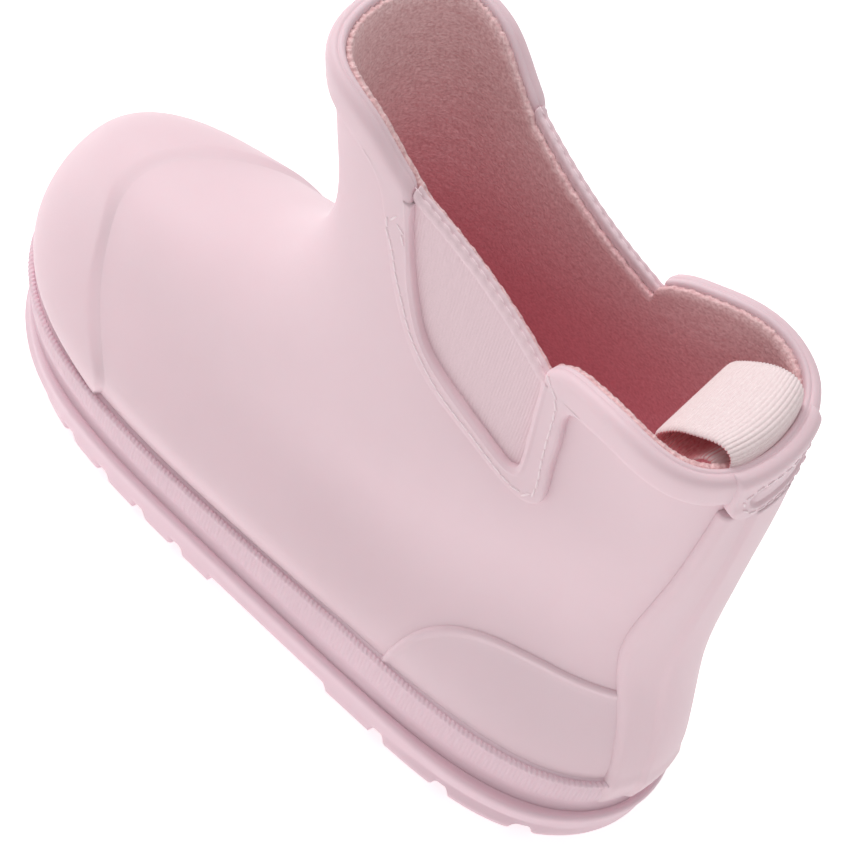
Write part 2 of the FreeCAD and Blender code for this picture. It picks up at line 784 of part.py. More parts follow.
def tapered_outline(near, near_radius, far, far_radius):
    """The outline round two circles: two arcs joined by their common tangents."""
    gap = (far - near).Length
    lean = math.asin((far_radius - near_radius) / gap)
    corners = []
    for centre, radius in ((near, near_radius), (far, far_radius)):
        for sign in (1, -1):
            turn = beside * (sign * math.cos(lean)) - toward * math.sin(lean)
            corners.append(centre + turn * radius)
    return [
        Part.LineSegment(corners[0], corners[2]),
        Part.Arc(corners[2], far + toward * far_radius, corners[3]),
        Part.LineSegment(corners[3], corners[1]),
        Part.Arc(corners[1], near - toward * near_radius, corners[0]),
    ]


loop_body = doc.addObject("PartDesign::Body", "loop_body")
side_plane = next(p for p in loop_body.Origin.OriginFeatures if p.Role == "YZ_Plane")
sketch = loop_body.newObject("Sketcher::SketchObject", "loop_sketch")
sketch.AttachmentSupport = [(side_plane, "")]
sketch.MapMode = "FlatFace"
neck_radius = dim("loop_neck")
bulb_radius = dim("loop_radius")
sketch.addGeometry(tapered_outline(neck, neck_radius, bulb, bulb_radius), False)
hole_start = neck + toward * (2 * WEBBING)
hole_radius = neck_radius - WEBBING
sketch.addGeometry(
    tapered_outline(hole_start, hole_radius, bulb, bulb_radius - WEBBING), False
)
pad = loop_body.newObject("PartDesign::Pad", "loop_pad")
pad.Profile = sketch
pad.setExpression("Length", "Dimensions.webbing_width")
loop_body.setExpression(
    ".Placement.Base.x", "Dimensions.shift_x - Dimensions.webbing_width / 2"
)
keep("pull_loop", loop_body)

# ---- check and write ---------------------------------------------------------------------

doc.recompute()
for item in doc.Objects:
    failed = {"Invalid", "Error"} & set(item.State)
    if failed:
        raise RuntimeError(f"{item.Name} is {failed}")
for label, item in parts.items():
    if item.Shape.isNull() or not item.Shape.isValid() or not item.Shape.Solids:
        raise RuntimeError(f"{label} has no valid solid")
os.makedirs("parts", exist_ok=True)
for label, item in parts.items():
    item.Shape.exportStep(f"parts/{label}.step")
print(f"{len(parts)} parts written")
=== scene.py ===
import math

import bmesh
import bpy
import numpy as np
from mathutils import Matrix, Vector

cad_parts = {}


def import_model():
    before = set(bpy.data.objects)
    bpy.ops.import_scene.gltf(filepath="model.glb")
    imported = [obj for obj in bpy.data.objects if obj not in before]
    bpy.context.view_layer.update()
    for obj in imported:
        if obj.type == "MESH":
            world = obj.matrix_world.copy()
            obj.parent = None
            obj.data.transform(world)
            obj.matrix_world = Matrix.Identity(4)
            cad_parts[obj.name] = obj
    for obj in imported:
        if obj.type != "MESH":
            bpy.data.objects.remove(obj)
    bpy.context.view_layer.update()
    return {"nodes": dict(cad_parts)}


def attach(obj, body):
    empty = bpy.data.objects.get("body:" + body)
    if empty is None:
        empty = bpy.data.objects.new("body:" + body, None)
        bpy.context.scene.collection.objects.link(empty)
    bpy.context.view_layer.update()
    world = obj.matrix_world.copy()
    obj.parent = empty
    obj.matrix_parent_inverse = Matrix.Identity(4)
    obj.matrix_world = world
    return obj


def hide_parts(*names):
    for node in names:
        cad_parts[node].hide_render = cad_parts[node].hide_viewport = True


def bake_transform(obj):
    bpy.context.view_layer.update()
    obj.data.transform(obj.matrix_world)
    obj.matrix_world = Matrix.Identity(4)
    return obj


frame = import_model()

# A child's pull-on rubber boot. Lengths in this script are millimetres until a mesh is made.
# The toe points to -Y and +X is the outer side of the foot.

MM = 0.001
TAU = math.tau
# From the skin's own frame to the boot's: the middle of the footprint is the origin.
SHIFT = np.array([5.3, 1.4, 0.0])

# ---- the skin's outside: a smooth surface through ten cross-sections ---------------------

# Each cross-section, from the sole up: front_y, front_z, rear_y, rear_z, half_width,
# fullness of the front, narrowing at the middle, sideways sweep of the front. They lie a few
# millimetres from the CAD model's own sections where the photograph asks for it.
SECTIONS = np.array([
    (-93.0, 12.0, 92.0, 12.0, 42.1, 0.21, 0.21, -11.7),
    (-97.5, 24.9, 94.0, 25.2, 43.1, 0.21, 0.216, -12.0),
    (-97.2, 37.0, 93.0, 36.5, 39.3, 0.205, 0.14, -7.2),
    (-92.7, 48.6, 90.0, 50.5, 30.0, 0.145, 0.095, -7.6),
    (-80.6, 57.6, 87.0, 66.0, 25.5, 0.115, 0.061, -6.0),
    (-55.0, 66.4, 85.5, 82.0, 24.5, 0.05, 0.06, -3.5),
    (-28.0, 82.5, 84.5, 97.5, 24.0, -0.02, 0.12, -1.5),
    (-18.0, 107.0, 83.5, 112.5, 24.0, -0.06, 0.26, -1.5),
    (-20.5, 130.0, 82.5, 124.0, 26.0, -0.06, 0.40, -2.0),
    (-25.5, 153.0, 82.0, 138.0, 28.0, -0.06, 0.46, -2.0),
])
LAST = len(SECTIONS) - 1


def curve_bends(marks, values):
    """Second derivatives of the natural cubic spline through values at marks."""
    count = len(marks)
    gaps = np.diff(marks)
    system = np.eye(count)
    pull = np.zeros_like(values)
    for i in range(1, count - 1):
        before, after = gaps[i - 1], gaps[i]
        system[i, i - 1 : i + 2] = before, 2 * (before + after), after
        rise = (values[i + 1] - values[i]) / after - (values[i] - values[i - 1]) / before
        pull[i] = 6 * rise
    return np.linalg.solve(system, pull)


def curve_at(marks, values, bends, where):
    """The natural cubic spline's values at places."""
    i = np.clip(np.searchsorted(marks, where, side="right") - 1, 0, len(marks) - 2)
    gap = marks[i + 1] - marks[i]
    t = (where - marks[i]) / gap
    if values.ndim > 1:
        gap, t = gap[..., None], t[..., None]
    sag = gap * gap * t * (1 - t) / 6 * ((2 - t) * bends[i] + (1 + t) * bends[i + 1])
    return (1 - t) * values[i] + t * values[i + 1] - sag


LEVELS = np.arange(LAST + 1.0)
TOP_LEVEL = LAST + 0.3
SECTION_BENDS = curve_bends(LEVELS, SECTIONS)


def section_sizes(level):
    """The sizes of the cross-section at each level, in the order of SECTIONS."""
    return np.moveaxis(curve_at(LEVELS, SECTIONS, SECTION_BENDS, level), -1, 0)


def skin_point(level, angle):
    """Points of the skin's outside before the shift: angle 0 at the toe, +X side first."""
    level, angle = np.broadcast_arrays(np.asarray(level, float), np.asarray(angle, float))
    front_y, front_z, rear_y, rear_z, half, full, waist, sweep = section_sizes(level)
    along = (1 - np.cos(angle)) / 2
    swell = 1 + full * np.cos(angle) + waist * np.cos(2 * angle)
    x = half * np.sin(angle) * swell + sweep * (1 - along) ** 2
    y = front_y + (rear_y - front_y) * along
    z = front_z + (rear_z - front_z) * along
    return np.stack([x, y, z], axis=-1)


def skin_normal(level, angle):
    """Outward normals of the skin."""
    step = 0.001
    level, angle = np.asarray(level, float), np.asarray(angle, float)
    turn = skin_point(level, angle + step) - skin_point(level, angle - step)
    rise = skin_point(level + step, angle) - skin_point(level - step, angle)
    normal = np.cross(turn, rise)
    return normal / np.linalg.norm(normal, axis=-1, keepdims=True)


def skin(level, angle, offset=0.0):
    """Points at a distance outside the skin, in the boot's frame."""
    offset = np.asarray(offset, float)[..., None]
    return skin_point(level, angle) + skin_normal(level, angle) * offset + SHIFT


def turning_place(low, high, is_past):
    """Where a test turns from False to True between two values, by halving, for each of many."""
    for _ in range(34):
        middle = (low + high) / 2
        past = is_past(middle)
        high = np.where(past, middle, high)
        low = np.where(past, low, middle)
    return low


def level_where(angle, too_high, shape=()):
    """The level at each angle where a test on the points turns from False to True."""
    low = np.zeros(np.broadcast(np.asarray(angle), np.zeros(shape)).shape)
    return turning_place(low, low + TOP_LEVEL, lambda level: too_high(skin_point(level, angle)))


def side_place(y, z, side=1):
    """The level and angle of side-view places, on the outer side (1) or inner side (-1)."""
    y, z = np.broadcast_arrays(np.asarray(y, float), np.asarray(z, float))

    def along_and_height(level):
        front_y, front_z, rear_y, rear_z = section_sizes(level)[:4]
        along = np.clip((y - front_y) / (rear_y - front_y), 0, 1)
        return along, front_z + (rear_z - front_z) * along

    low = np.zeros(y.shape)
    level = turning_place(low, low + TOP_LEVEL, lambda level: along_and_height(level)[1] >= z)
    angle = np.arccos(1 - 2 * along_and_height(level)[0])
    return level, angle if side > 0 else TAU - angle


def run_along(points):
    """Distance along a polyline at each of its points."""
    return np.concatenate([[0], np.cumsum(np.linalg.norm(np.diff(points, axis=0), axis=1))])


def smooth_line(points, count):
    """Evenly spaced places on a smooth curve through points of any dimension."""
    points = np.asarray(points, float)
    marks = run_along(points)
    bends = curve_bends(marks, points)
    fine = curve_at(marks, points, bends, np.linspace(0, marks[-1], 12 * count))
    return evenly(fine, count)


def evenly(points, count):
    """Places evenly spaced along a polyline."""
    run = run_along(points)
    marks = np.linspace(0, run[-1], count)
    return np.stack([np.interp(marks, run, column) for column in points.T], axis=1)


def soft_step(value):
    """0 below 0, 1 above 1 and a smooth rise between."""
    value = np.clip(value, 0, 1)
    return value * value * (3 - 2 * value)


# ---- side-view lines ---------------------------------------------------------------------

RIM_FRONT = np.array([(-26, 150.5), (-11, 149.5), (-4.5, 147), (2, 142), (8, 137.6)])
RIM_REAR = np.array([(41.5, 124.7), (45, 128.6), (51, 131.6), (60, 133.8), (70, 133.6), (80, 132.2)])
FRONT_BENDS = curve_bends(*RIM_FRONT.T)
REAR_BENDS = curve_bends(*RIM_REAR.T)
GORE_FRONT, GORE_REAR = 8, 41.5
GORE_TOP = np.array([(0, 143.2), (8, 137.6), (41.5, 124.7), (46, 122.9)])


def gore_top(y):
    """Height of the gore's sloping top edge."""
    return np.interp(y, GORE_TOP[:, 0], GORE_TOP[:, 1])


def rim_height(y):
    """Height of the rim in side view."""
    front = curve_at(*RIM_FRONT.T, FRONT_BENDS, np.clip(y, RIM_FRONT[0, 0], GORE_FRONT))
    rear = curve_at(*RIM_REAR.T, REAR_BENDS, np.clip(y, GORE_REAR, RIM_REAR[-1, 0]))
    return np.where(y < GORE_FRONT, front, np.where(y > GORE_REAR, rear, gore_top(y)))


def rim_level(angle, drop):
    """The level at each angle, drop below the rim."""
    shape = np.broadcast(np.asarray(angle), np.asarray(drop)).shape
    return level_where(angle, lambda p: p[..., 2] > rim_height(p[..., 1]) - drop, shape)


# The gore's opening and the raised frame round it, as matching places on the two outlines.
GORE = np.array([
    (7.3, 135.6), (8.4, 130.6), (9.4, 127.0), (11.0, 122.5), (12.7, 118.6), (17, 111.3), (22, 107.3),
    (28, 105.2), (36, 103.5), (43.6, 101.9), (45.6, 101.9), (46.9, 103.0), (47.0, 105), (46.2, 110),
    (44.7, 118), (44.2, 121), (43.9, 123), (43.8, 124.6),
])
FRAME = np.array([
    (-5.5, 141.3), (-1.6, 138.0), (0.6, 134.6), (3.4, 127.2), (6.4, 119.6), (11, 111.5), (17.2, 104.8),
    (25, 101), (35, 99.1), (46.2, 97.1), (50.9, 97.2), (53.6, 99.0), (54.1, 101.6), (53.0, 108),
    (51.7, 117), (51.0, 121), (51.5, 123.6), (54.6, 126.3),
])


def inside(y, z, outline):
    """Which side-view places lie inside a closed outline."""
    found = np.zeros(np.shape(y), bool)
    for (y0, z0), (y1, z1) in zip(outline, np.roll(outline, -1, axis=0)):
        crosses = (z0 > z) != (z1 > z)
        meets = y0 + (y1 - y0) * (z - z0) / (z1 - z0 if z1 != z0 else 1.0)
        found ^= crosses & (y < meets)
    return found


# ---- mesh helpers ------------------------------------------------------------------------


def mesh_piece(name, points, faces, weld=None):
    """An object from points in millimetres and a list of faces."""
    mesh = bpy.data.meshes.new(name)
    mesh.from_pydata((np.asarray(points) * MM).tolist(), [], faces)
    if weld:
        shape = bmesh.new()
        shape.from_mesh(mesh)
        bmesh.ops.remove_doubles(shape, verts=shape.verts, dist=weld * MM)
        bmesh.ops.recalc_face_normals(shape, faces=shape.faces)
        shape.to_mesh(mesh)
        shape.free()
    mesh.shade_smooth()
    piece = bpy.data.objects.new(name, mesh)
    bpy.context.scene.collection.objects.link(piece)
    return piece


def grid_faces(rows, columns, wrap_rows, wrap_columns, first=0):
    """Quads of a grid of points that may close on itself either way."""
    faces = []
    for i in range(rows if wrap_rows else rows - 1):
        for j in range(columns if wrap_columns else columns - 1):
            k, m = (i + 1) % rows, (j + 1) % columns
            corners = (i * columns + j, k * columns + j, k * columns + m, i * columns + m)
            faces.append(tuple(first + corner for corner in corners))
    return faces


def tube(name, loops, round_trip=False, weld=0.002):
    """A closed piece through a row of closed loops, with its ends filled or joined."""
    count, size = loops.shape[:2]
    faces = grid_faces(count, size, round_trip, True)
    if not round_trip:
        faces.append(tuple(range(size)))
        faces.append(tuple((count - 1) * size + k for k in reversed(range(size))))
    return mesh_piece(name, loops.reshape(-1, 3), faces, weld)


def finish(piece, slot_name, *nodes, body="base"):
    """Gives a piece the material of its slot and its body, and hides the CAD nodes that it stands for.
    """
    piece.data.materials.clear()
    piece.data.materials.append(MATERIALS[slot_name])
    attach(piece, body)
    if nodes:
        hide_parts(*nodes)
    return piece


# ---- materials ---------------------------------------------------------------------------


class Recipe:
    """Builds one procedural material, node by node."""

    def __init__(self, name, roughness, sheen=0.0, soft=0.0):
        self.material = bpy.data.materials.new(name)
        self.material.use_nodes = True
        self.nodes = self.material.node_tree.nodes
        self.links = self.material.node_tree.links
        self.shader = self.nodes["Principled BSDF"]
        self.shader.inputs["Roughness"].default_value = roughness
        self.shader.inputs["Specular IOR Level"].default_value = 0.4
        if sheen:
            self.shader.inputs["Sheen Weight"].default_value = sheen
            self.shader.inputs["Sheen Roughness"].default_value = 0.5
        if soft:
            self.shader.inputs["Subsurface Weight"].default_value = soft
            self.shader.inputs["Subsurface Radius"].default_value = (1.0, 0.45, 0.5)
            self.shader.inputs["Subsurface Scale"].default_value = 0.003
        coordinates = self.nodes.new("ShaderNodeTexCoord")
        self.place = coordinates.outputs["Object"]
        self.normal = coordinates.outputs["Normal"]

    def node(self, kind, **settings):
        """A node with its inputs or its own settings set by name."""
        made = self.nodes.new(kind)
        for key, value in settings.items():
            if key in made.inputs:
                made.inputs[key].default_value = value
            else:
                setattr(made, key, value)
        return made

    def link(self, start, end):
        self.links.new(start, end)

    def noise(self, scale, detail=2.0, stretch=(1, 1, 1)):
        """Noise with features about 1 / scale metres across."""
        place = self.node("ShaderNodeMapping")
        place.inputs["Scale"].default_value = stretch
        self.link(self.place, place.inputs["Vector"])
        made = self.node("ShaderNodeTexNoise", Scale=scale, Detail=detail)
        self.link(place.outputs["Vector"], made.inputs["Vector"])
        return made.outputs["Fac"]

    def ramp(self, value, stops):
        """A colour ramp over a value."""
        made = self.node("ShaderNodeValToRGB")
        points = made.color_ramp.elements
        while len(points) < len(stops):
            points.new(0.5)
        for point, (where, colour) in zip(points, stops):
            point.position = where
            point.color = (*colour, 1.0)
        self.link(value, made.inputs["Fac"])
        return made.outputs["Color"]

    def colour(self, value, stops):
        """Base colour from a ramp over a value."""
        self.link(self.ramp(value, stops), self.shader.inputs["Base Color"])

    def mixed_colour(self, share, first, second):
        """Base colour that goes from a first colour to a second with a share."""
        made = self.node("ShaderNodeMix", data_type="RGBA")
        for start, name in ((share, "Factor"), (first, "A"), (second, "B")):
            self.link(start, made.inputs[name])
        self.link(made.outputs["Result"], self.shader.inputs["Base Color"])

    def spread(self, value, start=0.0, stop=1.0, low=0.0, high=1.0):
        """A value between start and stop, spread over low to high."""
        made = self.node("ShaderNodeMapRange")
        settings = {"From Min": start, "From Max": stop, "To Min": low, "To Max": high}
        for name, setting in settings.items():
            made.inputs[name].default_value = setting
        self.link(value, made.inputs["Value"])
        return made.outputs["Result"]

    def vector(self, operation, first, second, result="Vector"):
        """Vector arithmetic on two values, either of which may be a plain tuple."""
        made = self.node("ShaderNodeVectorMath", operation=operation)
        for value, end in zip((first, second), made.inputs):
            if isinstance(value, tuple):
                end.default_value = value
            else:
                self.link(value, end)
        return made.outputs[result]

    def bump(self, value, depth):
        """Relief of a depth in metres, over any relief already there."""
        made = self.node("ShaderNodeBump", Distance=depth, Strength=1.0)
        before = self.shader.inputs["Normal"].links
        if before:
            self.link(before[0].from_socket, made.inputs["Normal"])
        self.link(value, made.inputs["Height"])
        self.link(made.outputs["Normal"], self.shader.inputs["Normal"])


def around(colour, spread):
    """A darker and a lighter neighbour of a colour."""
    dark = tuple(c * (1 - spread) for c in colour)
    light = tuple(min(c * (1 + spread), 1.0) for c in colour)
    return dark, light


def rubber(name, colour, roughness=0.5, grain=0.00002):
    """Matt rubber: faint cloudy colour, fine grain and slightly uneven gloss."""
    recipe = Recipe(name, roughness, soft=0.12)
    dark, light = around(colour, 0.02)
    recipe.colour(recipe.noise(28, 3), [(0.3, dark), (0.7, light)])
    gloss = recipe.spread(recipe.noise(160, 2), low=roughness - 0.05, high=roughness + 0.06)
    recipe.link(gloss, recipe.shader.inputs["Roughness"])
    recipe.bump(recipe.noise(2600, 2), grain)
    return recipe.material


def cloth(name, colour, scale, depth, stretch=(1, 1, 1), spread=0.12):
    """Thread or fabric: fibrous colour, relief and a soft sheen."""
    recipe = Recipe(name, 0.85, sheen=0.25)
    dark, light = around(colour, spread)
    fibre = recipe.noise(scale, 4, stretch)
    recipe.colour(fibre, [(0.3, dark), (0.7, light)])
    recipe.bump(fibre, depth)
    return recipe.material


LOOP_MIDDLE = (0.0, 0.0719, 0.1288)


def webbing_material(name):
    """Pale webbing, with painted shade: faces that look into the loop are painted a deep rose for the
    shade and bounced light inside it.
    """
    recipe = Recipe(name, 0.85, sheen=0.25)
    fibre = recipe.noise(2600, 4, (0.6, 1, 1))
    pale = recipe.ramp(fibre, [(0.3, (0.88, 0.70, 0.71)), (0.7, (0.94, 0.80, 0.80))])
    rose = recipe.ramp(fibre, [(0.3, (0.74, 0.20, 0.23)), (0.7, (0.90, 0.42, 0.44))])
    # Painted shade: the rose on faces turned towards the loop's middle stands in for the loop's shade
    # and the light bounced inside it.
    to_middle = recipe.vector("SUBTRACT", LOOP_MIDDLE, recipe.place)
    to_middle = recipe.vector("MULTIPLY", to_middle, (0.0, 1.0, 1.0))
    painted_shade_share = recipe.vector("DOT_PRODUCT", to_middle, recipe.normal, result="Value")
    recipe.mixed_colour(recipe.spread(painted_shade_share, stop=0.002), pale, rose)
    recipe.bump(fibre, 0.00006)
    return recipe.material


def lining_material(name):
    """Brushed knit: deep rose lower down as painted shade, paler near the rim as painted light."""
    recipe = Recipe(name, 0.95, sheen=0.35)
    pile = recipe.noise(1500, 4, (1.0, 1.0, 1.5))
    patch = recipe.noise(260, 3, (1.0, 1.0, 1.8))
    split = recipe.node("ShaderNodeSeparateXYZ")
    recipe.link(recipe.place, split.inputs["Vector"])
    # Painted light and shade: the knit is painted deeper rose lower in the shaft and paler towards the
    # rim.
    height = recipe.spread(split.outputs["Z"], start=0.09, stop=0.135)
    low = recipe.ramp(pile, [(0.3, (0.72, 0.26, 0.31)), (0.7, (0.94, 0.45, 0.51))])
    high = recipe.ramp(pile, [(0.3, (0.68, 0.38, 0.39)), (0.7, (0.94, 0.66, 0.66))])
    recipe.mixed_colour(height, low, high)
    # Light that the pile scatters back and forth inside the shaft, more of it lower down.
    recipe.shader.inputs["Emission Color"].default_value = (0.9, 0.34, 0.42, 1.0)
    glow = recipe.spread(height, low=0.06, high=0.012)
    recipe.link(glow, recipe.shader.inputs["Emission Strength"])
    recipe.bump(patch, 0.0004)
    recipe.bump(pile, 0.0002)
    return recipe.material


PINK = (0.82, 0.61, 0.66)
MATERIALS = {
    "upper_rubber": rubber("upper_rubber", PINK),
    "sole_rubber": rubber("sole_rubber", (0.81, 0.59, 0.655)),
    "foxing_rubber": rubber("foxing_rubber", (0.82, 0.60, 0.665)),
    "filler_rubber": rubber("filler_rubber", (0.55, 0.42, 0.43), 0.8, 0.0002),
    "board": cloth("board", (0.60, 0.50, 0.38), 700, 0.0002),
    "footbed_foam": rubber("footbed_foam", (0.62, 0.38, 0.42), 0.8, 0.0001),
    "lining_knit": lining_material("lining_knit"),
    "elastic": cloth("elastic", (0.83, 0.625, 0.67), 4200, 0.00003, spread=0.04),
    "stitch": cloth("stitch", (0.92, 0.75, 0.79), 3000, 0.00003, spread=0.04),
    "webbing": webbing_material("webbing"),
}

# ---- upper and lining --------------------------------------------------------------------

UPPER_FOOT_LEVEL = 0.85
UPPER_WALL = 1.95
COLLAR_LAP = 1.6
ROUND_STEPS = 320
LINING_FACE = -3.3
LINING_BACK = -2.1


def upper():
    """The rubber skin from the sole up to the collar, with a hole for each gore."""
    rows = 96
    angles = np.linspace(0, TAU, ROUND_STEPS, endpoint=False)
    top = rim_level(angles, COLLAR_LAP)
    share = np.linspace(0, 1, rows)[:, None]
    levels = UPPER_FOOT_LEVEL + (top[None, :] - UPPER_FOOT_LEVEL) * share
    points = skin(levels, np.broadcast_to(angles, levels.shape))
    above_rim = [(47, 160), (0, 160)]
    hole = np.vstack([(GORE + FRAME) / 2, above_rim])
    flat = points.reshape(-1, 3)
    faces = grid_faces(rows, ROUND_STEPS, False, True)
    centres = flat[np.array(faces)].mean(axis=1) - SHIFT
    cut = inside(centres[:, 1], centres[:, 2], hole)
    piece = mesh_piece("upper", flat, [f[::-1] for f, gone in zip(faces, cut) if not gone])
    wall = piece.modifiers.new("wall", "SOLIDIFY")
    wall.thickness = UPPER_WALL * MM
    wall.offset = -1
    return finish(piece, "upper_rubber", "vamp", "leg_shell")


def lining_edge(y):
    """Height of the lining's top edge in side view, tucked under the binding or the collar."""
    return np.where((y > 7) & (y < 43), gore_top(y) - 1.5, rim_height(y) - 1.1)


def lining():
    """The knit inside the skin, up to the collar's lip and the gores' bindings."""
    rows, foot = 64, 0.5
    angles = np.linspace(0, TAU, 640, endpoint=False)
    top = level_where(angles, lambda p: p[..., 2] > lining_edge(p[..., 1]))
    top += 0.012 * np.sin(angles * 131) * np.sin(angles * 47 + 1)
    share = np.linspace(0, 1, rows)[:, None]
    levels = foot + (top[None, :] - foot) * share
    turned = np.broadcast_to(angles, levels.shape)
    ripple = 0.12 * np.sin(7 * turned + 2 * levels) * np.sin(3.1 * levels)
    inner = skin(levels, turned, LINING_FACE + ripple)
    outer = skin(levels, turned, LINING_BACK)
    loops = np.concatenate([inner, outer[::-1]], axis=0).transpose(1, 0, 2)
    piece = tube("lining", loops, round_trip=True)
    return finish(piece, "lining_knit", "lining_vamp", "lining_leg")


# ---- raised overlays ---------------------------------------------------------------------

BURIED = -0.5


def overlay_loops(low, high, low_edge, high_edge, middle):
    """Closed loops across a raised piece lying between two lines of (level, angle) places.

    The edges are lists of (distance from the line, offset) and the middle is a list of
    (share of the width between the edges, offset).
    """
    flat_low, flat_high = skin(low[:, 0], low[:, 1]), skin(high[:, 0], high[:, 1])
    width = np.maximum(np.linalg.norm(flat_high - flat_low, axis=1), 1e-6)
    marks, offsets = [], []
    for distance, offset in low_edge:
        marks.append(np.minimum(distance / width, 0.5))
        offsets.append(offset)
    ends = [np.maximum(1 - distance / width, 0.5) for distance, _ in high_edge]
    start, stop = marks[-1], ends[-1]
    for share, offset in middle:
        marks.append(start + (stop - start) * share)
        offsets.append(offset)
    for mark, (_, offset) in zip(reversed(ends), reversed(high_edge)):
        marks.append(mark)
        offsets.append(offset)
    for mark in (1.0, 0.5, 0.0):
        marks.append(np.full(len(width), mark))
        offsets.append(BURIED)
    marks = np.array(marks).T[..., None]
    places = low[:, None, :] + (high - low)[:, None, :] * marks
    offsets = np.array([np.broadcast_to(o, len(width)) for o in offsets]).T
    return skin(places[..., 0], places[..., 1], offsets)


def soft_edge(height, width, steps=7, start=-0.12):
    """An edge that rises smoothly from just under the skin to a height."""
    edge = [(0.0, BURIED)]
    for share in np.linspace(0, 1, steps + 1):
        edge.append((width * share, start + (height - start) * float(soft_step(share))))
    return edge


# The overlays' edge along the bead, and their height there.
BEAD_LIFT = 0.4
BEAD_EDGE = [(0.0, 0.2), (0.3, BEAD_LIFT)]

# The cap's rear edge in plan is y = apex y + curve * (x - apex x) squared.
CAP_APEX = (4.0, -69.5)
CAP_CURVE = 0.03
CAP_LIFT = 1.3


def toe_overlay():
    """The toe cap: from the bead up to a rear edge that is a parabola in plan."""
    count = 161
    reach = np.linspace(-1, 1, count)

    def past_edge(p):
        return p[..., 1] - CAP_APEX[1] - CAP_CURVE * (p[..., 0] - CAP_APEX[0]) ** 2 > 0

    trial = np.linspace(-0.9, 0.9, 721)
    heights = level_where(trial, past_edge)
    top = heights.max()
    levels = top - (top - 1.0) * np.abs(reach) ** 1.7
    apex = np.full(count, trial[heights.argmax()])
    beside = np.where(reach < 0, -0.6 * math.pi, 0.6 * math.pi)
    angles = turning_place(apex, beside, lambda angle: past_edge(skin_point(levels, angle)))
    edge = np.stack([levels, angles], axis=1)
    bead_angle = np.where(reach < 0, -angles[0], angles[-1]) * reach
    bead = np.stack([np.full(count, 1.0), bead_angle], axis=1)
    middle = []
    for share in np.linspace(0.03, 0.97, 60):
        middle.append((share, BEAD_LIFT + (CAP_LIFT - BEAD_LIFT) * float(soft_step(share / 0.45))))
    loops = overlay_loops(bead, edge, BEAD_EDGE, soft_edge(CAP_LIFT, 2.8), middle)
    return finish(tube("toe_overlay", loops), "upper_rubber", "toe_cap")


# The counter's front edge in side view, up to where its top edge runs on round the heel.
COUNTER_RISE = [
    (39.5, 24.8), (40.2, 29), (41.5, 35.3), (43.8, 41.6), (48, 46.6), (53.5, 50.0), (60, 52.0),
    (68, 53.0),
]


def counter_top(y):
    """Height of the counter's top edge round the heel."""
    return 53.0 + 0.4 * soft_step((y - 68) / 20)


def heel_overlay():
    """The heel counter, from one side round the heel to the other."""
    rise = smooth_line(COUNTER_RISE, 60)
    level, angle = side_place(rise[:, 0], rise[:, 1])
    turn = np.linspace(angle[-1], TAU - angle[-1], 90)[1:-1]
    back = level_where(turn, lambda p: p[..., 2] > counter_top(p[..., 1]))
    edge = np.concatenate([
        np.stack([level, angle], axis=1),
        np.stack([back, turn], axis=1),
        np.stack([level, TAU - angle], axis=1)[::-1],
    ])
    run = run_along(skin(edge[:, 0], edge[:, 1]))
    foot_angle = angle[0] + (TAU - 2 * angle[0]) * run / run[-1]
    foot = np.stack([np.full(len(edge), 0.98), foot_angle], axis=1)
    middle = [(share, BEAD_LIFT) for share in np.linspace(0.05, 0.95, 24)]
    ridge = [
        (0.0, BURIED), (0.0, -0.1), (0.12, 0.3), (0.35, 0.62), (0.7, 0.82), (1.05, 0.85),
        (1.4, 0.76), (1.8, 0.56), (2.3, 0.43),
    ]
    loops = overlay_loops(foot, edge, BEAD_EDGE, ridge, middle)
    return finish(tube("heel_overlay", loops), "upper_rubber", "heel_counter")


STRIP_HALF = 10.5
STRIP_RIDGE = 4.4
STRIP_FOOT = 16.4
STRIP_TOP = 120.6


def angle_at_back(level, x):
    """The angle near the heel where the skin has a given x."""
    low = np.full(np.broadcast(level, x).shape, math.pi * 0.6)
    high = np.full(low.shape, math.pi * 1.4)
    return turning_place(low, high, lambda angle: skin_point(level, angle)[..., 0] <= x)


def spine_overlay():
    """The strip up the back of the heel, with a raised ridge along its middle."""
    rows, low_rows = 90, 24
    low_heights = np.linspace(STRIP_FOOT + 0.2, 30, low_rows)
    heights = np.concatenate([low_heights, np.linspace(31, STRIP_TOP, rows - low_rows)])
    centre = level_where(np.full(rows, math.pi), lambda p: p[..., 2] > heights)
    over_bead = 0.75 * soft_step((30 - heights) / 5) * soft_step((heights - STRIP_FOOT) / 1.5)
    flare = 1 + 0.16 * soft_step((3.2 - centre) / 2.2)
    across = [STRIP_HALF - inset for inset in (0.0, 0.0, 0.12, 0.3, 0.55, 0.85, 1.2, 2.2, 3.6)]
    across += [STRIP_RIDGE + beyond for beyond in (1.1, 0.8, 0.5, 0.2, -0.1, -0.4)]
    across += [2.6, 1.3]
    across = np.array(across + [0.0] + [-place for place in reversed(across)])
    edge = 2.0 * np.clip((STRIP_HALF - np.abs(across)) / 1.2, 0, 1) ** 0.5
    lift = edge + 1.0 * soft_step((STRIP_RIDGE + 1.1 - np.abs(across)) / 1.5)
    lift = lift[None, :] * np.minimum(1, (heights[:, None] - STRIP_FOOT) / 1.2)
    lift += over_bead[:, None]
    lift[:, [0, -1]] = BURIED
    levels = np.broadcast_to(centre[:, None], (rows, len(across)))
    angles = angle_at_back(levels, across[None, :] * flare[:, None])
    top = skin(levels, angles, lift)
    under = skin(levels[:, ::6], angles[:, ::6], BURIED)[:, ::-1][:, 1:-1]
    loops = np.concatenate([top, under], axis=1)
    return finish(tube("spine_overlay", loops), "upper_rubber", "back_strip")


# ---- collar ------------------------------------------------------------------------------

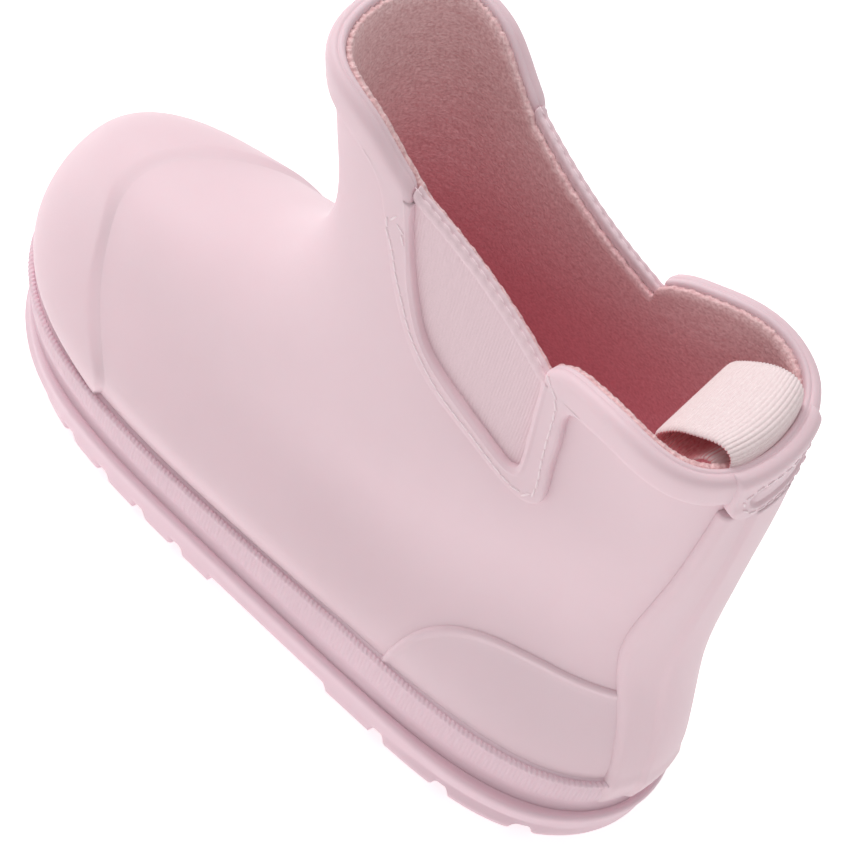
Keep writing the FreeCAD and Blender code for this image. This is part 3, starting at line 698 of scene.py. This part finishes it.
# The collar's section: drop below the rim and offset from the skin, round its closed outline.
COLLAR_SECTION = np.array([
    (7.6, -0.5), (7.6, -0.05), (7.55, 0.5), (7.4, 0.95), (7.1, 1.3), (6.6, 1.5), (5.6, 1.58),
    (4.0, 1.6), (2.6, 1.6), (1.6, 1.52), (0.85, 1.28), (0.35, 0.85), (0.08, 0.35), (0.0, -0.15),
    (0.03, -0.5), (0.2, -0.68), (0.2, -0.82), (0.04, -1.0), (0.0, -1.3), (0.1, -1.65), (0.4, -1.92),
    (0.9, -2.05), (1.6, -2.08), (2.3, -2.0), (2.5, -1.7), (2.6, -1.2), (5.0, -0.9),
])


COLLAR_MIDDLE = (3.5, -0.4)
COLLAR_END = 1.3
COLLAR_REACH = 45.0


def collar_stations(half_count=75, end_count=6):
    """Where the sections lie from one end (1) to the other (-1), and how large each one is."""
    turn = np.linspace(0, math.pi / 2, end_count)
    inset = COLLAR_END * (1 - np.cos(turn)) / COLLAR_REACH
    share = np.concatenate([1 - inset, np.linspace(1 - inset[-1], 0, half_count)[1:]])
    scale = np.concatenate([1 - 0.55 * (1 - np.sin(turn)), np.ones(half_count - 1)])
    share = np.concatenate([share, -share[::-1][1:]])
    return share, np.concatenate([scale, scale[::-1][1:]])


def collar(name, centre, direction, end_heights, end_places):
    """A collar from one gore round to the other, with rounded ends.

    centre is the angle at its middle, and direction is 1 where y grows towards its ends. The
    last two are heights and the side-view y that its ends have at them.
    """
    drops, offsets = COLLAR_SECTION.T
    spans = {}
    for side in (1, -1):

        def past_end(span):
            angle = centre + side * span
            place = skin_point(rim_level(angle, drops), angle)
            return direction * (place[:, 1] - np.interp(place[:, 2], end_heights, end_places)) > 0

        low = np.zeros(len(drops))
        spans[side] = turning_place(low, low + math.pi * 0.8, past_end)
    loops = []
    for share, scale in zip(*collar_stations()):
        drop = COLLAR_MIDDLE[0] + (drops - COLLAR_MIDDLE[0]) * (1 - (1 - scale) * 0.35)
        offset = COLLAR_MIDDLE[1] + (offsets - COLLAR_MIDDLE[1]) * scale
        angle = centre + share * spans[1 if share >= 0 else -1]
        loops.append(skin(rim_level(angle, drop), angle, offset))
    return tube(name, np.array(loops))


def front_collar():
    piece = collar("collar_front", 0.0, 1, [118.6, 128, 141], [12.5, 8.9, 5.4])
    return finish(piece, "upper_rubber", "front_collar")


def rear_collar():
    piece = collar("collar_rear", math.pi, -1, [110, 119, 129.5], [46.2, 44.6, 43.0])
    return finish(piece, "upper_rubber", "rear_collar")


# ---- gores -------------------------------------------------------------------------------


def matched(outline, count):
    """Places along an outline, matched point for point with the other outline."""
    both = smooth_line(np.hstack([GORE, FRAME]), count)
    return both[:, :2] if outline is GORE else both[:, 2:]


def gore_frame(side, word):
    """The raised rubber frame round a gore, with a fine lip along its opening."""
    count = 190
    outer, inner = matched(FRAME, count), matched(GORE, count)
    low = np.stack(side_place(outer[:, 0], outer[:, 1], side), axis=1)
    high = np.stack(side_place(inner[:, 0], inner[:, 1], side), axis=1)
    lift = [
        (0.0, -0.9), (0.0, -0.2), (0.02, 0.6), (0.1, 1.05), (0.3, 1.38), (0.6, 1.52), (0.95, 1.56),
    ]
    lip = [
        (0.0, -1.2), (0.0, 0.6), (0.05, 1.05), (0.2, 1.38), (0.45, 1.52), (0.75, 1.57), (1.0, 1.72),
        (1.25, 1.8), (1.5, 1.72), (1.8, 1.57),
    ]
    middle = [(s, 1.57) for s in np.linspace(0.1, 0.95, 8)]
    loops = overlay_loops(low, high, lift, lip, middle)
    piece = tube(f"gore_frame_{word}", loops)
    return finish(piece, "upper_rubber", f"gore_surround_{word}")


# The ribs lean forwards as they rise, about a middle height.
RIB_LEAN = 0.1
RIB_MIDDLE = 115
RIB_PITCH = 0.64


def elastic(side, word):
    """The ribbed elastic panel, tucked under the frame and the binding."""
    chain = GORE[1:-4]
    across = chain[:, 0] + RIB_LEAN * (chain[:, 1] - RIB_MIDDLE)
    ribs = np.arange(8.8, 46.4, RIB_PITCH / 6)
    foot = np.interp(ribs, across, chain[:, 1]) - 1.3
    head = np.full(len(ribs), 130.0)
    for _ in range(6):
        head = gore_top(ribs - RIB_LEAN * (head - RIB_MIDDLE)) - 0.8
    foot = np.minimum(foot, head - 0.5)
    share = np.linspace(0, 1, 26)
    z = foot[:, None] + (head - foot)[:, None] * share
    y = ribs[:, None] - RIB_LEAN * (z - RIB_MIDDLE)
    level, angle = side_place(y, z, side)
    wave = np.abs(np.sin(math.pi * ribs / RIB_PITCH)) ** 0.7
    crown = 0.35 * np.sin(np.pi * share) * np.sin(np.pi * (ribs - 9) / 38)[:, None]
    face = skin(level, angle, -0.15 + crown + 0.13 * wave[:, None])
    back = skin(level, angle, -1.9)[:, ::-1]
    piece = tube(f"elastic_{word}", np.concatenate([face, back], axis=1))
    return finish(piece, "elastic", f"gore_elastic_{word}")


# The binding's section: drop below the gore's top edge and offset from the skin.
BINDING_SECTION = np.array([
    (2.2, -0.6), (2.15, -0.05), (1.8, 0.28), (1.2, 0.36), (0.6, 0.3), (0.18, 0.08), (0.0, -0.25),
    (0.1, -0.5), (0.34, -0.64), (0.36, -0.76), (0.12, -0.9), (-0.12, -1.15), (-0.15, -1.45),
    (0.0, -1.75), (0.4, -1.95), (1.2, -2.05), (2.4, -2.05), (2.5, -1.6), (2.5, -1.0),
])
PUCKER_PITCH = 2.4


def binding(side, word):
    """The folded binding over the gore's top edge: an outer and an inner roll."""
    drops, offsets = BINDING_SECTION.T
    y = np.linspace(6.6, 43.6, 150)[:, None]
    pucker = 1 + 0.04 * np.sin(TAU * y / PUCKER_PITCH)
    drop = drops[None, :] * np.ones_like(y)
    drop = drop - 0.06 * np.cos(TAU * y / PUCKER_PITCH) * (drop < 0.5)
    z = gore_top(y) - drop
    level, angle = side_place(np.broadcast_to(y, z.shape), z, side)
    offset = -0.8 + (offsets[None, :] + 0.8) * pucker
    piece = tube(f"binding_{word}", skin(level, angle, offset))
    return finish(piece, "elastic", f"gore_edge_{word}")


# ---- stitches ----------------------------------------------------------------------------


def stitches(name, places, normals, length, radius):
    """Separate rounded stitches lying along a line of places."""
    points, faces = [], []
    ahead = np.roll(places, -1, axis=0) - places
    ahead[-1] = ahead[-2]
    sides = 8
    profile = [(-0.5, 0.35), (-0.42, 0.75), (-0.25, 1.0), (0.25, 1.0), (0.42, 0.75), (0.5, 0.35)]
    turns = np.arange(sides) * TAU / sides
    for place, normal, along in zip(places, normals, ahead):
        across = np.cross(normal, along)
        across /= np.linalg.norm(across)
        along = np.cross(across, normal)
        first = len(points)
        for reach, swell in profile:
            centre = place + along * reach * length
            for turn in turns:
                out = across * math.cos(turn) * 1.15 + normal * math.sin(turn)
                points.append(centre + out * radius * swell)
        faces += grid_faces(len(profile), sides, False, True, first)
        faces.append(tuple(first + k for k in range(sides)))
        last = first + (len(profile) - 1) * sides
        faces.append(tuple(last + k for k in reversed(range(sides))))
    return mesh_piece(name, points, faces, weld=0.0001)


def spaced(points, pitch):
    """Places one pitch apart along a smooth line of side-view points."""
    fine = smooth_line(points, 200)
    return evenly(fine, int(run_along(fine)[-1] / pitch))


FRAME_SEAM = [
    (7.8, 127.2), (6.4, 129.8), (4.9, 130.8), (4.0, 129.6), (5.6, 124.6), (8.6, 118.6), (12.3, 112.9),
    (16.6, 107.8), (20.8, 105.0), (25.8, 102.7), (36, 100.7), (46.4, 98.7), (50, 98.9), (51.9, 100.2),
    (52.2, 102.4), (50.9, 109), (49.5, 117.5), (48.9, 121.4), (47.6, 124.6), (45.2, 126.4),
]


def frame_seam(side, word):
    """The stitched line just inside the frame's outer edge."""
    line = spaced(FRAME_SEAM, 2.35)
    level, angle = side_place(line[:, 0], line[:, 1], side)
    places, normals = skin(level, angle, 1.58), skin_normal(level, angle)
    piece = stitches(f"frame_seam_{word}", places, normals, 2.3, 0.2)
    return finish(piece, "stitch", f"gore_stitches_{word}")


def binding_seam(side, word):
    """The row of stitches in the valley between the binding's two rolls."""
    y = np.arange(7.0, 43.0, PUCKER_PITCH)
    level, angle = side_place(y, gore_top(y) - 0.28, side)
    up = np.tile([0.0, 0.36, 0.93], (len(y), 1))
    piece = stitches(f"binding_seam_{word}", skin(level, angle, -0.7), up, 1.9, 0.13)
    return finish(piece, "stitch")


# ---- tab patch ---------------------------------------------------------------------------

PATCH_HALF = 11.0
PATCH_DROP = 12.7
PATCH_CORNER = 4.5
WINDOW_HALF = 7.6
WINDOW_RADIUS = 2.8
WINDOW_DROP = 7.0


def window_depth(x, drop):
    """How far inside the patch's rounded window a place is, in millimetres."""
    aside = np.maximum(np.abs(x) - (WINDOW_HALF - WINDOW_RADIUS), 0)
    return WINDOW_RADIUS - np.hypot(aside, drop - WINDOW_DROP)


def patch_lift(drop):
    """Height of the patch's face over the skin, a little more in its lower half."""
    return 2.35 + 0.4 * soft_step((drop - 6.5) / 3)


def tab_angles(x):
    """The angles at the back where the skin has each x, at the tab's own height."""
    level = level_where(math.pi, lambda p: p[..., 2] > 127)
    return angle_at_back(level, x)


def tab_patch():
    """The tab moulded over the collar at the back, with a sunk window."""
    columns = 75
    x = np.linspace(-1, 1, columns)
    x = PATCH_HALF * np.sign(x) * np.abs(x) ** 0.9
    corner = np.maximum(np.abs(x) - (PATCH_HALF - PATCH_CORNER), 0)
    lowest = PATCH_DROP - PATCH_CORNER + np.sqrt(np.maximum(PATCH_CORNER**2 - corner**2, 0))
    share = np.linspace(0, 1, 44)
    face_drop = lowest[:, None] + (1.6 - lowest)[:, None] * share
    edge = np.clip((PATCH_HALF - np.abs(x)) / 0.9, 0, 1) ** 0.5
    from_foot = np.abs(lowest[:, None] - face_drop) + 0.05
    offset = patch_lift(face_drop) * np.minimum(1, from_foot / 0.8) ** 0.5
    depth = window_depth(x[:, None], face_drop)
    offset = offset - 0.7 * soft_step(depth / 0.5) + 0.35 * soft_step((depth - 1.0) / 0.5)
    over = np.array([
        (1.1, 2.25), (0.55, 2.0), (0.05, 1.55), (-0.25, 0.95), (-0.32, 0.3), (-0.25, -0.2), (0.0, -0.5),
        (0.5, -0.65), (1.5, -0.65), (4.0, -0.6), (9.0, -0.6),
    ])
    drops = np.concatenate([face_drop, np.broadcast_to(over[:, 0], (columns, len(over)))], axis=1)
    drops[:, -1] = np.minimum(drops[:, -1], lowest)
    offsets = np.concatenate([offset, np.broadcast_to(over[:, 1], (columns, len(over)))], axis=1)
    offsets = -0.6 + (offsets + 0.6) * (0.45 + 0.55 * edge[:, None])
    turned = np.broadcast_to(tab_angles(x)[:, None], drops.shape)
    loops = skin(rim_level(turned, drops), turned, offsets)
    return finish(tube("tab", loops), "upper_rubber", "tab_patch")


def tab_seam():
    """Stitches round the patch's window."""
    margin, pitch = 1.0, 2.0
    turn = np.linspace(0, TAU, 120)
    straight = (WINDOW_HALF - WINDOW_RADIUS) * np.sign(np.cos(turn))
    radius = WINDOW_RADIUS + margin
    outline = np.stack([
        straight + radius * np.cos(turn), WINDOW_DROP + radius * np.sin(turn)
    ], axis=1)
    x, drop = evenly(outline, int(run_along(outline)[-1] / pitch))[:-1].T
    angles = tab_angles(x)
    levels = rim_level(angles, drop)
    places = skin(levels, angles, patch_lift(drop) + 0.05)
    piece = stitches("tab_seam", places, skin_normal(levels, angles), 1.6, 0.2)
    return finish(piece, "stitch", "tab_stitches")


# ---- pull loop ---------------------------------------------------------------------------

# The webbing's middle line in side view before the shift, at its outer and inner selvedges:
# up from its sewn tail, over the top of the loop, round its front and back under.
STRAP_OUTER = [
    (78.3, 121.5), (78.3, 126), (78.2, 129.8), (78.0, 132.4), (77.0, 134.2), (75.2, 134.7),
    (72.6, 133.7), (69.6, 131.7), (66.9, 129.5), (65.0, 126.8), (64.1, 124.0), (64.9, 122.9),
    (67.6, 123.5), (70.4, 124.6), (72.5, 127.8), (74.4, 129.4), (75.9, 129.0), (76.6, 127.0),
    (76.9, 124.6), (77.0, 122.0),
]
STRAP_INNER = [
    (77.9, 121.5), (77.9, 126), (77.8, 130.0), (77.5, 132.8), (76.6, 135.2), (74.9, 136.1),
    (72.5, 135.8), (69.7, 134.3), (66.8, 131.8), (64.8, 129.7), (63.8, 127.4), (64.6, 125.9),
    (67.4, 125.6), (70.2, 126.3), (72.2, 128.4), (74.2, 129.6), (75.6, 129.0), (76.2, 127.0),
    (76.5, 124.6), (76.6, 122.0),
]
STRAP_HALF = 10.2
STRAP_THICK = 1.1
STRAP_RIBS = 74
RIB_STEPS = 8
STRAP_BOW = 1.7


def strap():
    """The pull loop: ribbed webbing that follows the heel where it is sewn and opens forward."""
    both = smooth_line(np.hstack([STRAP_OUTER, STRAP_INNER]), STRAP_RIBS * RIB_STEPS)
    share = np.linspace(-1, 1, 22)
    rib = np.abs(np.sin(math.pi * np.arange(len(both)) / RIB_STEPS)) ** 0.8
    mix = (1 + share)[None, :, None] / 2
    line = both[:, None, 2:] * (1 - mix) + both[:, None, :2] * mix
    line[..., 0] += STRAP_BOW * soft_step((line[..., 0] - 66) / 11) * (1 - share**2)
    along = np.gradient(line, axis=0)
    along /= np.linalg.norm(along, axis=-1, keepdims=True)
    out = np.stack([-along[..., 1], along[..., 0]], axis=-1)
    edge = np.sqrt(np.clip(1 - np.abs(share) ** 14, 0, 1))
    thick = (STRAP_THICK / 2 - 0.1 + 0.16 * rib[:, None]) * (0.35 + 0.65 * edge)[None, :]
    x = SHIFT[0] + (STRAP_HALF + 0.22 * rib[:, None]) * share[None, :]
    faces = []
    for direction in (1, -1):
        y, z = np.moveaxis(line + direction * out * thick[..., None], -1, 0)
        faces.append(np.stack([x, y + SHIFT[1], z], axis=-1))
    piece = tube("strap", np.concatenate([faces[0], faces[1][:, ::-1]], axis=1))
    piece.data.materials.append(MATERIALS["webbing"])
    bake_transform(piece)
    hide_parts("pull_loop", "loop_tail")
    return piece


# ---- foxing and sole ---------------------------------------------------------------------


def bead_line(angles, offset):
    """The plan outline of the foot at the bead, offset outwards."""
    normal = skin_normal(1.0, angles)[:, :2]
    normal /= np.linalg.norm(normal, axis=1, keepdims=True)
    return skin_point(1.0, angles)[:, :2] + SHIFT[:2] + normal * np.asarray(offset)[..., None]


def even_angles(count, stop=TAU, endpoint=False):
    """Angles from the toe to a stop that space the bead's outline evenly."""
    fine = np.linspace(0, stop, 4001)
    run = run_along(bead_line(fine, 0.0))
    return np.interp(np.linspace(0, run[-1], count, endpoint=endpoint), run, fine)


def bead_rise(y):
    """How far the bead swings below its mean height at the ball and above it at the shank."""
    return np.interp(y, [-90, -60, -25, 5, 30, 60, 90], [0.0, -1.2, -1.5, 0.2, 1.8, 1.0, 0.0])


def toe_share(angles):
    """One at the toe's tip, fading to nothing beside the ball."""
    return soft_step((np.cos(angles) - 0.35) / 0.5)


SOLE_TOP = 13.3
FOXING_RIBS = 480
CORD_TURNS = 400
CORD_HEIGHT = 25.9


def foxing():
    """The band round the foot: fine upright ribs over a smooth cove."""
    samples = 5
    angles = even_angles(FOXING_RIBS * samples)
    rib = np.abs(np.sin(math.pi * np.arange(len(angles)) / samples)) ** 0.8
    section = [
        (SOLE_TOP, -3.0, 0), (SOLE_TOP, 2.3, 0),
        (13.9, 1.85, 0), (14.8, 1.5, 0), (16.0, 1.4, 0), (17.2, 1.5, 0),
        (18.0, 1.62, 0.05), (18.4, 1.7, 0.2), (20.8, 1.7, 0.2), (23.4, 1.5, 0.2), (24.3, 1.4, 0.1),
        (25.4, 1.3, 0), (26.2, 1.1, 0), (26.8, 0.6, 0), (27.3, 0.0, 0), (27.3, -1.5, 0),
    ]
    loops = []
    for height, offset, ribbed in section:
        swell = 0.7 * toe_share(angles) * soft_step((height - 15) / 6) if offset > 0 else 0.0
        line = bead_line(angles, offset + ribbed * rib + swell)
        rise = bead_rise(line[:, 1]) * (height - SOLE_TOP) / 12
        loops.append(np.column_stack([line, height + rise]))
    piece = tube("foxing", np.array(loops).transpose(1, 0, 2), round_trip=True)
    return finish(piece, "foxing_rubber", "foxing_band")


def foxing_cord():
    """The twisted bead along the top of the foxing."""
    samples = 8
    angles = even_angles(CORD_TURNS * samples)
    phase = math.pi * np.arange(len(angles)) / samples
    loops = []
    for turn in np.arange(12) * TAU / 12:
        radius = 0.6 + 0.35 * np.abs(np.sin(phase + turn)) ** 0.8
        line = bead_line(angles, 1.35 + 0.9 * toe_share(angles) + radius * math.cos(turn))
        height = CORD_HEIGHT + bead_rise(line[:, 1]) + radius * math.sin(turn)
        loops.append(np.column_stack([line, height]))
    piece = tube("foxing_cord", np.array(loops).transpose(1, 0, 2), round_trip=True)
    return finish(piece, "foxing_rubber", "foxing_bead")


FRONT_GAPS = [-4.0 - 12.7 * k for k in range(7)]
HEEL_GAPS = [46.5, 64.0, 81.5]
SHANK = (-4.0, 30.0)
GAP_DEPTH = 3.4
SHANK_DEPTH = 3.6


def tread_relief(y):
    """How far the sole's underside is raised above the ground along the foot."""
    raised = soft_step((y - SHANK[0] + 1.6) / 2.2) * soft_step((SHANK[1] + 1.6 - y) / 2.2) * SHANK_DEPTH
    for gap in FRONT_GAPS + HEEL_GAPS:
        raised = np.maximum(raised, GAP_DEPTH * (1 - soft_step((np.abs(y - gap) - 0.9) / 1.5)))
    return raised


def bridge(start, end, count):
    """Rows of points between two rows, without the two themselves."""
    share = np.linspace(0, 1, count + 2)[1:-1, None]
    return start[:, None] * (1 - share) + end[:, None] * share


# The sole's wall from its top inner edge, over the rounded ridge and down: height and offset.
SOLE_WALL = [
    (8.6, -6.0), (13.4, -5.9), (13.45, -2.0), (13.45, 1.2), (13.55, 1.9), (13.8, 2.4), (13.95, 2.9),
    (13.85, 3.35), (13.45, 3.7), (12.8, 3.85), (11.8, 3.75), (10.4, 3.45), (8.8, 3.3), (7.2, 3.2),
    (5.6, 3.05),
]
SOLE_LOW = [(4.0, 2.9), (2.6, 2.65), (1.4, 2.3), (0.6, 1.85), (0.15, 1.2), (0.0, 0.4)]


def sole():
    """The outsole: a cupped slab with a rounded ridge and lugs cut by gaps."""
    angles = even_angles(460, math.pi, endpoint=True)
    halves = []
    for side in (1, -1):
        turned = side * angles
        y = skin_point(1.0, turned)[:, 1]
        raised = tread_relief(y)
        flare = 1.1 * soft_step((y - 35) / 40) * (1 - 0.85 * soft_step((y - 76) / 18))
        flare -= 1.5 * soft_step((-y - 55) / 35)
        scallop = np.where(y < 0, 2.8, 1.4)
        rows = []
        for height, offset in SOLE_WALL:
            wider = flare * soft_step(height - 8) if offset > 1.5 else 0.0
            line = bead_line(turned, offset + wider)
            rows.append(np.column_stack([line, np.full(len(line), height)]))
        for height, offset in SOLE_LOW:
            notch = scallop * raised / SHANK_DEPTH * (1 - height / 6)
            line = bead_line(turned, offset + flare - notch)
            rows.append(np.column_stack([line, height + raised * (1 - height / 5.2)]))
        halves.append(np.array(rows).transpose(1, 0, 2))
    right, left = halves
    bottom = bridge(right[:, -1], left[:, -1], 13)
    bottom[..., 2] = tread_relief(bottom[..., 1] - SHIFT[1])
    cup = bridge(left[:, 0], right[:, 0], 13)
    loops = np.concatenate([right, bottom, left[:, ::-1], cup], axis=1)
    return finish(tube("sole", loops), "sole_rubber", "outsole")


# ---- footbed -----------------------------------------------------------------------------


# How far the footbed lies inside the skin, and how much further at the toe where it hinges.
FOOTBED_INSET = 5.3
TOE_INSET = 5.0
FOOTBED_TOP = 21.0


def footbed_layer(name, slot_name, node, wall, hollow):
    """One layer of the loose footbed: a plate with soft edges and a slightly hollow top."""
    angles = np.linspace(0, math.pi, 120)
    halves = []
    for side in (1, -1):
        rows = []
        for height, offset in wall:
            level = level_where(side * angles, lambda p: p[..., 2] > min(height, FOOTBED_TOP))
            point = skin(level, side * angles, offset - FOOTBED_INSET - TOE_INSET * toe_share(angles))
            point[:, 2] = height
            rows.append(point)
        halves.append(np.array(rows).transpose(1, 0, 2))
    right, left = halves
    count = 23
    share = np.linspace(0, 1, count + 2)[1:-1]
    top = bridge(right[:, -1], left[:, -1], count)
    top[..., 2] -= hollow * np.sqrt(4 * share * (1 - share)) * np.sin(angles)[:, None]
    low = bridge(left[:, 0], right[:, 0], count)
    loops = np.concatenate([right, top, left[:, ::-1], low], axis=1)
    return finish(tube(name, loops), slot_name, node, body="footbed")


def footbed():
    foam_wall = [(16.75, -0.6), (17.1, -0.1), (18.4, 0.0), (19.9, -0.1), (20.3, -0.4)]
    cover_wall = [(20.35, -0.5), (20.5, -0.1), (20.9, 0.0), (21.2, -0.15), (21.35, -0.6)]
    footbed_layer("foam_bed", "footbed_foam", "footbed_foam", foam_wall, 0.0)
    footbed_layer("cloth_bed", "lining_knit", "footbed_cover", cover_wall, 0.25)


# ---- build -------------------------------------------------------------------------------

upper()
lining()
toe_overlay()
heel_overlay()
spine_overlay()
front_collar()
rear_collar()
for side, word in ((1, "left"), (-1, "right")):
    gore_frame(side, word)
    elastic(side, word)
    binding(side, word)
    frame_seam(side, word)
    binding_seam(side, word)
tab_patch()
tab_seam()
strap()
foxing()
foxing_cord()
sole()
footbed()

for name, slot_name in (
    ("forefoot_filler", "filler_rubber"), ("heel_filler", "filler_rubber"),
    ("insole_board", "board"), ("lining_sole", "lining_knit"),
):
    node = frame["nodes"][name]
    node.data.materials.clear()
    node.data.materials.append(MATERIALS[slot_name])

# ---- floor, light and camera -------------------------------------------------------------


def area_light(name, place, size, power):
    """A round white lamp that faces the boot. Places and sizes are metres in this section."""
    light = bpy.data.lights.new(name, "AREA")
    light.shape = "DISK"
    light.size = size
    light.energy = power
    lamp = bpy.data.objects.new(name, light)
    bpy.context.scene.collection.objects.link(lamp)
    lamp.location = place
    target = Vector((0, 0, 0.05))
    lamp.rotation_euler = (target - Vector(place)).to_track_quat("-Z", "Y").to_euler()


def floor():
    """A plain pale floor under the lugs."""
    half = 3.0
    corners = np.array([(-half, -half, 0), (half, -half, 0), (half, half, 0), (-half, half, 0)])
    piece = mesh_piece("floor", corners / MM, [(0, 1, 2, 3)])
    recipe = Recipe("floor", 0.9)
    recipe.colour(recipe.noise(3, 2), [(0.4, (0.93, 0.93, 0.93)), (0.6, (0.95, 0.95, 0.95))])
    recipe.shader.inputs["Emission Color"].default_value = (1, 1, 1, 1)
    recipe.shader.inputs["Emission Strength"].default_value = 0.5
    piece.data.materials.append(recipe.material)


def world():
    made = bpy.data.worlds.new("studio")
    made.use_nodes = True
    shader = made.node_tree.nodes["Background"]
    shader.inputs["Color"].default_value = (1.0, 1.0, 1.0, 1.0)
    shader.inputs["Strength"].default_value = 0.48
    bpy.context.scene.world = made


def camera():
    """The photograph's view, from above and behind the boot's outer side and tilted."""
    data = bpy.data.cameras.new("camera")
    data.lens = 82.99
    data.sensor_width = 36.0
    made = bpy.data.objects.new("camera", data)
    bpy.context.scene.collection.objects.link(made)
    made.location = (0.21677, 0.12878, 0.39227)
    made.rotation_euler = [math.radians(turn) for turn in (34.118, -11.465, 134.23)]
    bpy.context.scene.camera = made


floor()
world()
area_light("key", (-0.18, -0.95, 1.15), 0.9, 10.2)
area_light("top", (0.0, 0.0, 1.4), 1.2, 3)
camera()
bpy.context.scene.view_settings.view_transform = "Standard"
